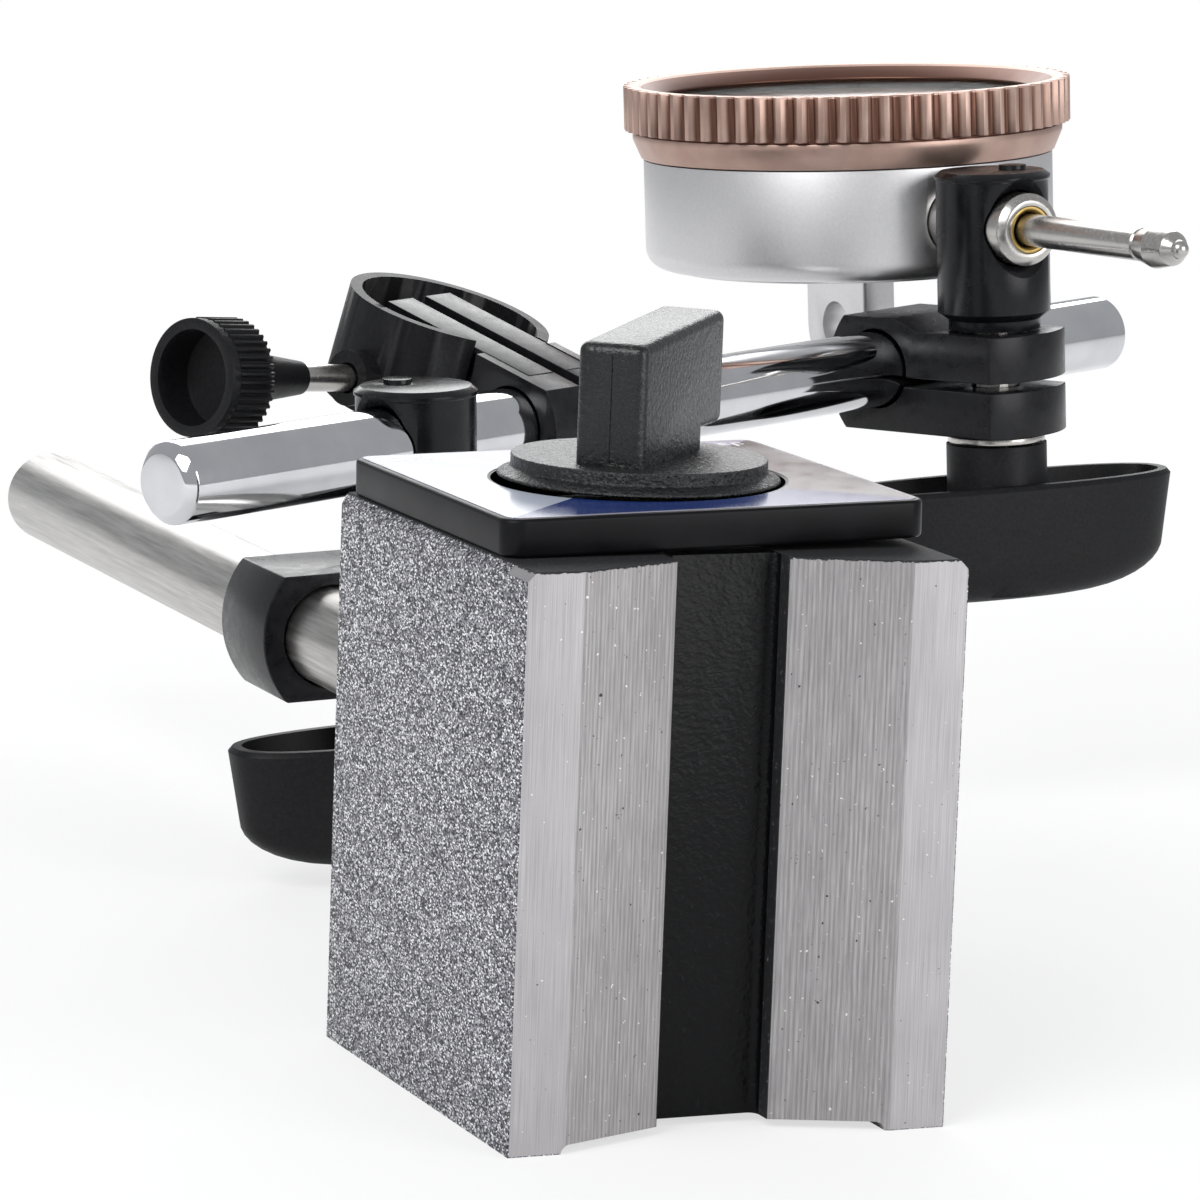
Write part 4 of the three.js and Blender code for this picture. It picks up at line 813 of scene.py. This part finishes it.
def boat_ring(half_length, half_width, height):
    """A ring of points round the boat's plan, a little blunter than an ellipse."""
    ring = []
    for point in range(boat_points):
        turn = 2 * math.pi * point / boat_points
        x, y = (math.copysign(abs(v) ** boat_power, v) for v in (math.cos(turn), math.sin(turn)))
        ring.append((half_length * x, half_width * y, height))
    return ring


def joined(name, parts):
    """Makes one piece of several."""
    alone(*parts)
    bpy.ops.object.join()
    parts[0].name = name
    return parts[0]


def bridged(name, rings):
    """A closed skin through rings of points: each ring is drawn, and the rings are bridged."""
    parts = []
    for ring in rings:
        parts.append(drawn(f"{name}_ring", ring + ring[:1]))
        bpy.ops.mesh.remove_doubles(threshold=0.001 * MM)
        bpy.ops.object.mode_set(mode="OBJECT")
    piece = joined(name, parts)
    bpy.ops.object.mode_set(mode="EDIT")
    bpy.ops.mesh.select_all(action="SELECT")
    bpy.ops.mesh.bridge_edge_loops()
    bpy.ops.mesh.select_all(action="DESELECT")
    bpy.ops.mesh.select_non_manifold()
    bpy.ops.mesh.edge_face_add()
    return outwards(piece)


def wing_outer():
    """Rings of the outside, from the keel to the rim."""
    rings = []
    for step in range(keel_steps + 1):
        turn = step / keel_steps * math.pi / 2
        length = keel_length + (end_length - keel_length) * math.sin(turn) ** 0.9
        width = keel_width + (end_width - keel_width) * math.sin(turn) ** 0.75
        height = -wing_height + (wing_height - wing_end) * (1 - math.cos(turn))
        rings.append(boat_ring(length, width, height))
    drawn_in = wing_round * wing_draft
    rings.append(boat_ring(wing_length - drawn_in, wing_width - drawn_in, -wing_round))
    rings.append(boat_ring(wing_length - wing_round, wing_width - wing_round, 0))
    return rings


def wing_knob(name, place):
    """Opens upwards at its place, with its long way along X."""
    shell = bridged(name, wing_outer())
    length, width = wing_length - wing_wall, wing_width - wing_wall
    cavity = bridged("cavity_tool", [
        boat_ring(length, width, past), boat_ring(length, width, 0),
        boat_ring(length - wing_end * wing_draft, width - wing_end * wing_draft, -wing_end),
        boat_ring(end_length * (1 - wing_floor / wing_end), keel_width, inner_floor)])
    carved(shell, cavity)
    web = raised("web", box(-end_length, -web_thick / 2, end_length, web_thick / 2),
                 inner_floor, -web_drop)
    carved(web, bridged("trim_tool", wing_outer()), way="INTERSECT")
    hub = peg("hub", hub_radius, inner_floor - wing_wall, hub_rise, steps=72)
    carved(shell, web, hub, way="UNION")
    carved(shell, peg("insert_tool", insert_radius + press, hub_rise - insert_depth,
                      hub_rise + past, steps=72))
    softened(shell, 0.3, 3, 40)
    return settled(shell, place)


matt_black, tree, shader, grain = mottled(
    "wing_plastic matt moulded nylon", 0.45, {"Detail": 3.0},
    ((0.3, "#101012"), (0.7, "#1a1a1c")), 0.46, {"Specular IOR Level": 0.2})
bump = add(tree, "Bump", {"Strength": 1.0, "Distance": 0.03 * MM, "Height": grain})
feed(shader, {"Normal": bump})
for level, bolt, turn, clamp_bottom in (
        ("lower", lower_bolt, 3, lower_bottom), ("upper", upper_bolt, -23.5, upper_bottom)):
    rim = moved(z=clamp_bottom - wing_gap - hub_rise)
    wing = wing_knob(f"{level}_wing_nut", bolt @ turned(turn, "Z") @ rim)
    stands_for(wing, matt_black, f"{level}_wing", "wing_plastic", f"{level}_wing_knob")


# Chrome rod: drawn bar, polished and hard-chromed, with turned chamfers.
def chamfered(name, radius, edge, low, high, steps):
    """A round bar along Z with a chamfer at each end."""
    return spun(name, [(0, low), (radius - edge, low), (radius, low + edge),
                       (radius, high - edge), (radius - edge, high), (0, high)], steps)


rod_place = placed(joints["adjuster_on_rod"]["pos_m"], rod_axis, lower_axis)
low, high = span("sub_post", rod_place)
rod = chamfered("arm_rod", rod_radius, 1.2, low.x, high.x, 128)
softened(settled(rod, rod_place @ turned(90, "Y")), 0.2)
chromed, *_ = mottled(
    "rod_chrome hard chrome plate", 6, {"Detail": 5.0},
    ((0.3, "#cfd0d3"), (0.7, "#dcdddf")), (0.05, 0.09), {"Metallic": 1})
stands_for(rod, chromed, "rod", "rod_chrome", "sub_post")

# Fine adjuster: a blackened bar bored on the rod and slit along its top, its tip held in a
# moulded drum where a thumb screw bears on it.
bar_at, bar_lean, drum_at, drum_lean = 23.2, 16, 21, 6.8
hub_width, bar_width, bar_top, bar_bottom, bar_reach = 14, 11, 6.8, -3.4, 25.9
front_flat, front_reach, hub_back, bar_slot, slot_floor, slot_end = 4.6, 8, 8, 2.2, 1.6, 27
rivet_hole, rivet_depth, rivet_radius = 2.1, 2.2, 1.6
bar_place = rod_place @ moved(bar_at) @ turned(bar_lean, "X")
to_bar = Matrix(((0, 0, 1, 0), (1, 0, 0, 0), (0, 1, 0, 0), (0, 0, 0, 1)))
bulge = front_reach - front_flat
nose_radius = (bar_top ** 2 + bulge ** 2) / (2 * bulge)
sweep = math.degrees(math.asin(bar_top / nose_radius))
nose = arc((nose_radius - front_reach, 0), nose_radius, 180 - sweep, 180 + sweep)
bar = raised("adjuster_arm", [(hub_back, -bar_top), (hub_back, bar_top), *nose],
             -hub_width / 2, hub_width / 2, to_bar)
tongue = raised("tongue", box(0, bar_bottom, bar_reach, bar_top), -bar_width / 2, bar_width / 2,
                to_bar)
carved(bar, tongue, way="UNION")
carved(
    bar, peg("bore_tool", rod_radius + play, -through, through, turned(90, "Y")),
    raised("slot_tool", box(-bar_slot / 2, -through, bar_slot / 2, slot_end), slot_floor,
           bar_top + past),
    peg("rivet_tool", rivet_hole, bar_bottom - past, bar_bottom + rivet_depth, moved(y=drum_at),
        48))
softened(bar, 0.4, 3)
stands_for(settled(bar, bar_place), blackened, "adjuster", "clamp_black", "adjuster_bar")

drum_radius, drum_wall, drum_top, drum_floor_top, drum_floor = 13, 1.5, 7, -5, 1.6
notch_gap, boss_radius, boss_reach, boss_root, screw_height = 0.9, 3.5, 2.2, 0.75, -2.4
screw_radius, screw_out, screw_in = 1.7, -17, -10
drum_place = bar_place @ moved(y=drum_at) @ turned(drum_lean, "Y")
to_screw = moved(z=screw_height) @ turned(90, "Y")
drum_foot, drum_inner = drum_floor_top - drum_floor, drum_radius - drum_wall
drum = spun("adjuster_cup", [
    (0, drum_foot), (drum_radius, drum_foot), (drum_radius, drum_top), (drum_inner, drum_top),
    (drum_inner, drum_floor_top), (0, drum_floor_top)], 128)
carved(drum, peg("boss", boss_radius, -drum_radius - boss_reach, boss_root - drum_radius,
                 to_screw, 48), way="UNION")
notch_half, notch_end = bar_width / 2 + notch_gap, drum_radius + 2
carved(
    drum, raised("notch_tool", box(-notch_half, -notch_end, notch_half, 0),
                 bar_bottom - notch_gap, drum_top + past),
    peg("screw_tool", screw_radius + play, screw_out, screw_in, to_screw, 48),
    peg("rivet_tool", rivet_radius, drum_foot - past, drum_floor_top + past, steps=48))
softened(drum, 0.3, 3)
stands_for(settled(drum, drum_place), matt_black, "adjuster", "wing_plastic", "adjuster_drum")

# Thumb screw: a steel screw moulded into a fluted cup knob of the same nylon as the wings.
thumb_place = drum_place @ to_screw
low, high = span("thumb_screw", thumb_place)
screw_edge = 0.3
screw = chamfered("thumb_screw_bar", screw_radius, screw_edge, low.z, high.z, 48)
smoothed(screw, 35)
stands_for(settled(screw, thumb_place), turned_steel, "thumb_screw", "plain_steel", "thumb_screw")

cup_at, cup_length, cup_radius, cup_rim, cup_neck = -23.8, 18.4, 7.4, 7, 2.1
cup_wall, cup_depth, cup_flutes, flute, cup_lip, lip_in = 1.5, 5, 44, 0.4, 1.3, 0.15
cup_face, cup_bore, cup_root = cup_at - cup_length, cup_radius - cup_wall, cup_radius - flute


def fluted(tip, root, count, rib_share):
    """Outline of a straight-fluted grip: ribs with a share of the pitch, and grooves between."""
    points, outline = 4, []
    for rib in range(count):
        for point in range(points):
            across = (point + 0.5) / points - 0.5
            outline.append((rib + across, tip if abs(across) < rib_share / 2 else root))
        outline.append((rib + 0.5, root))
    return [(radius * math.cos(2 * math.pi * turn / count),
             radius * math.sin(2 * math.pi * turn / count)) for turn, radius in outline]


cup = spun("thumb_cup", [
    (0, cup_face + cup_depth), (cup_bore, cup_face + cup_depth), (cup_bore, cup_face),
    (cup_radius - lip_in, cup_face), (cup_radius - lip_in, cup_face + cup_lip),
    (cup_root, cup_face + cup_lip), (cup_root, cup_face + cup_rim),
    ((cup_root + cup_neck) / 2, cup_face + cup_rim + cup_wall),
    (cup_neck + cup_wall / 2, (cup_face + cup_rim + cup_at) / 2), (cup_neck, cup_at), (0, cup_at)])
band = raised("thumb_band", fluted(cup_radius, cup_root, cup_flutes, rib_share=0.62),
              cup_face + cup_lip, cup_face + cup_rim)
carved(band, peg("hollow_tool", cup_bore, cup_face - past, cup_face + cup_rim + past))
carved(cup, band, way="UNION")
carved(cup, peg("screw_tool", screw_radius + press, low.z - screw_edge, 0, steps=48))
softened(cup, 0.25, 2)
stands_for(settled(cup, thumb_place), matt_black, "thumb_screw", "knob_plastic", "thumb_knob")

# Indicator: a satin silver case with its screwed back and lug, and the stem pressed into it.
dial_place = at_joint("bezel_turn", -spindle_axis)
case_radius, case_top, case_bottom, case_wall, case_corner = 27.7, -10, -24.8, 1.8, 2.8
collar_radius, collar_top, seat_depth, stem_depth = 26.1, -6.7, 1.8, 17.2
cover_radius, cover_proud, stem_in, stem_out = 23.6, 0.4, 15, 30
to_stem = moved(z=-stem_depth) @ turned(90, "Y")
stem_place = dial_place @ to_stem
seat_radius, seat_top = cover_radius + press, case_bottom + seat_depth
corner = arc((case_radius - case_corner, case_bottom + case_corner), case_corner, -90, 0, 12)
case = spun("case_shell", [
    (seat_radius, case_bottom), *corner, (case_radius, case_top), (collar_radius, case_top),
    (collar_radius, collar_top), (collar_radius - case_wall, collar_top),
    (collar_radius - case_wall, seat_top), (seat_radius, seat_top), (seat_radius, case_bottom),
], 192)
carved(case, peg("stem_tool", stem_radius + press, stem_in, stem_out, to_stem))
softened(case, 0.2, 2, 25)
silver, *_ = mottled(
    "case_silver satin plated", 0.4, {"Detail": 4.0, "Roughness": 0.7},
    ((0.3, "#d6d5d6"), (0.7, "#e0dfe0")), (0.4, 0.46), {"Metallic": 1})
stands_for(settled(case, dial_place), silver, "indicator", "case_silver", "indicator_case")

lug_width, lug_thick, lug_hole, lug_drop, lug_root = 14.8, 5, 3.25, 33.3, 1
foot = case_bottom - cover_proud
cover = peg("screwed_back", cover_radius, foot, seat_top, steps=192)
lug = raised("lug", [
    (lug_width / 2, foot + lug_root), (-lug_width / 2, foot + lug_root),
    *arc((0, -lug_drop), lug_width / 2, 180, 360),
], -lug_thick / 2, lug_thick / 2, turned(90, "X"))
carved(cover, softened(lug, 0.4, 3), way="UNION")
carved(cover, peg("lug_tool", lug_hole, -lug_thick, lug_thick,
                  moved(z=-lug_drop) @ turned(90, "X"), 64))
softened(cover, 0.2, 2)
stands_for(settled(cover, dial_place), silver, "indicator", "case_silver", "back_cover")

# Stem: a ground steel tube, counterbored at its mouth for a thin brass bush.
low, high = span("stem", stem_place)
stem_bore, stem_edge, bush_radius, bush_length = 2.3, 0.9, 3.1, 1.8
bush_play, bush_sunk, flare_out, flare_foot = 0.05, 0.1, 0.35, 0.5
stem = spun("stem_tube", [
    (stem_bore, low.z), (stem_radius, low.z), (stem_radius, high.z - stem_edge),
    (stem_radius - stem_edge, high.z), (bush_radius, high.z), (bush_radius, high.z - bush_length),
    (stem_bore, high.z - bush_length), (stem_bore, low.z)])
softened(settled(stem, stem_place), 0.12)
stands_for(stem, turned_steel, "indicator", "plain_steel", "stem")
bush_foot, bush_outer = high.z - bush_length + bush_play, bush_radius - bush_play
bush = spun("stem_bush", [
    (stem_bore, bush_foot), (bush_outer, bush_foot), (bush_outer, high.z - bush_sunk),
    (stem_bore + flare_out, high.z - bush_sunk), (stem_bore, high.z - flare_foot),
    (stem_bore, bush_foot)], 64)
softened(settled(bush, stem_place), 0.06)
stands_for(bush, turned_brass, "indicator", "brass_parts")

# Bezel: turned aluminium, straight-fluted by milling and anodised rose-bronze; a narrow bevel
# falls to the crystal, and the flutes stand over a plain lip.
bezel_radius, bezel_flutes, flute_depth, bezel_band, band_bore = 30.2, 66, 0.9, 6, 28.6
lip_out, lip_top, lip_foot_out, bezel_foot = 29.1, -6.3, 28, -9.8
bezel_bore, bezel_opening, bezel_flat, bezel_bevel = 26.4, 25.6, 28.3, 1.7
crystal_top, crystal_thick, crystal_radius = -2, 1.4, 27
bezel_root, crystal_foot = bezel_radius - flute_depth, crystal_top - crystal_thick
bezel_core, crystal_seat = bezel_root - flute_depth / 2, crystal_radius + press
ring = spun("bezel_ring", [
    (bezel_opening, -bezel_bevel), (bezel_flat, 0), (bezel_core, 0), (bezel_core, lip_top),
    (lip_out, lip_top), (lip_out, lip_top - flute_depth), (lip_foot_out, bezel_foot),
    (bezel_bore, bezel_foot), (bezel_bore, crystal_foot), (crystal_seat, crystal_foot),
    (crystal_seat, crystal_top), (bezel_opening, crystal_top), (bezel_opening, -bezel_bevel),
], 264)
band = raised("bezel_band", fluted(bezel_radius, bezel_root, bezel_flutes, rib_share=0.6),
              -bezel_band, 0)
carved(band, peg("hollow_tool", band_bore, -bezel_band - past, past, steps=264))
carved(ring, band, way="UNION")
softened(ring, 0.16, 2, 28)
bronze, tree, shader, dye = mottled(
    "bezel_bronze anodised aluminium", 5, {"Detail": 5.0}, None, (0.38, 0.44), {"Metallic": 0.9})
ribs = add(tree, "ValToRGB", {"Fac": dye}, stops=((0.3, "#ad9084"), (0.7, "#bfa498")))
# painted shade: the grooves are painted darker, and are found by their radius about the dial's axis
place = add(tree, "TexCoord", {}).outputs["Object"]
from_dial = dial_place.inverted()
in_dial = add(tree, "Mapping", {
    "Vector": place, "Location": from_dial.to_translation(), "Rotation": from_dial.to_euler()})
apart = add(tree, "SeparateXYZ", {"Vector": in_dial})
flat = add(tree, "CombineXYZ", {"X": apart.outputs["X"], "Y": apart.outputs["Y"]})
out = add(tree, "VectorMath", {"Vector": flat}, operation="LENGTH")
groove_mouth, groove_root, groove_top = bezel_root + 0.5, bezel_root + 0.1, -0.3
groove_shade = add(tree, "MapRange", {
    "Value": out, "From Min": groove_mouth * MM, "From Max": groove_root * MM})
for way, limit in (("LESS_THAN", groove_top), ("GREATER_THAN", lip_top)):
    within = add(tree, "Math", {0: apart.outputs["Z"], 1: limit * MM}, operation=way)
    groove_shade = add(tree, "Math", {0: groove_shade, 1: within}, operation="MULTIPLY")
# the painted shade pulls the grooves' colour towards a deep bronze
feed(shader, {"Base Color": add(tree, "Mix", {
    "Factor": groove_shade, "A": ribs, "B": linear("#6d4d41")}, data_type="RGBA")})
stands_for(settled(ring, dial_place), bronze, "bezel", "bezel_bronze", "bezel")

# Crystal: a flat disc of clear acrylic, snapped into the bezel.
lens = peg("crystal_disc", crystal_radius, crystal_foot + press, crystal_top - press, steps=192)
softened(settled(lens, dial_place), 0.1)
acrylic, *_ = mottled(
    "crystal clear acrylic", 8, {"Detail": 3.0}, None, (0.0, 0.03),
    {"Base Color": linear("#f7f9fa"), "Transmission Weight": 1, "IOR": 1.49})
stands_for(lens, acrylic, "bezel", "crystal", "crystal")

# Dial: white enamelled plates. The outer ring turns with the bezel and carries a hundred
# graduations; the middle stays, with the counter of whole turns.
enamel, *_ = mottled(
    "dial_white enamelled brass", 3, {"Detail": 2.0},
    ((0.3, "#e4e4e1"), (0.7, "#f0f0ee")), 0.45, {})
dial_ink, *_ = new_material(
    "dial_white printed graduations", {"Base Color": linear("#151515"), "Roughness": 0.5})
for node in ("dial_ring", "dial_centre"):
    painted(frame["nodes"][node], enamel)
dial_top, ink_lift, divisions, tick_outer, tick_long, tick_short = -5.8, 0.03, 100, 25.2, 3.4, 2.2
tick_width, long_every, number_every, number_radius, number_height = 0.22, 5, 10, 19.6, 3.1
face_place = dial_place @ moved(z=dial_top)
strokes = []
for mark in range(divisions):
    length, breadth = tick_short, tick_width
    if mark % long_every == 0:
        length, breadth = tick_long, tick_width * 1.6
    outline = box(tick_outer - length, -breadth / 2, tick_outer, breadth / 2)
    strokes.append(raised("dial_stroke", outline, 0, ink_lift, turned(360 * mark / divisions, "Z")))
graduations = settled(joined("dial_graduations", strokes), face_place)
stands_for(graduations, dial_ink, "bezel", "dial_white")
for number in range(0, divisions, number_every):
    turn = 180 - 360 * number / divisions
    spot = face_place @ turned(turn, "Z") @ moved(number_radius) @ turned(90 - turn, "Z")
    lettered(f"dial_number_{number}", str(number), number_height, ink_lift, spot,
             dial_ink, "bezel", "dial_white")

# Hands: blued steel strips on their arbors.
blued, *_ = mottled(
    "hand_black blued steel", 2, {"Detail": 2.0},
    ((0.3, "#101014"), (0.7, "#1c1c24")), 0.3, {"Metallic": 0.6})
for node in ("main_pointer", "small_hand"):
    painted(frame["nodes"][node], blued)

# Spindle and contact point: ground steel, with the rack milled into the spindle; the point is
# screwed in, with a hard ball at its tip.
low, high = span("spindle", stem_place)
spindle_radius = 2.1
plunger = chamfered("plunger", spindle_radius, 0.4, low.z, high.z, 96)
plunger.data.transform(turned(90, "Y"))
rack_pitch, rack_teeth, rack_behind, rack_line, tooth_height = 0.625, 21, 2, 1.6, 0.2
tip_share, root_share, root_drop, outer = 0.09, 0.33, 1.25, -spindle_radius - 1
counter = dial_place.inverted() @ Vector(joints["small_hand_turn"]["pos_m"]) / MM
first = counter.x - rack_pitch * rack_behind
teeth = [(first - rack_pitch / 2, outer)]
for tooth in range(rack_teeth):
    for share, height in ((tip_share - 0.5, -1), (root_share - 0.5, root_drop),
                          (0.5 - root_share, root_drop), (0.5 - tip_share, -1)):
        teeth.append((first + rack_pitch * (tooth + share), height * tooth_height - rack_line))
teeth.append((first + rack_pitch * (rack_teeth - 0.5), outer))
carved(plunger, raised("rack_tool", teeth, outer, -outer))
settled(smoothed(plunger, 35), dial_place @ moved(z=-stem_depth))
stands_for(plunger, turned_steel, "spindle", "plain_steel", "spindle")

low, high = span("contact_point", stem_place)
flare_radius, flare, point_neck, ball_radius = 2.75, 3, 2.15, 1.2
ball = arc((0, high.z - ball_radius), ball_radius, 0, 90, 16)
point = spun("ball_point", [
    (0, low.z), (spindle_radius, low.z), (flare_radius, low.z + flare),
    (point_neck, high.z - 2 * ball_radius), *ball[:-1], (0, high.z)], 64)
softened(settled(point, stem_place), 0.12, 2, 20)
stands_for(point, turned_steel, "spindle", "plain_steel", "contact_point")
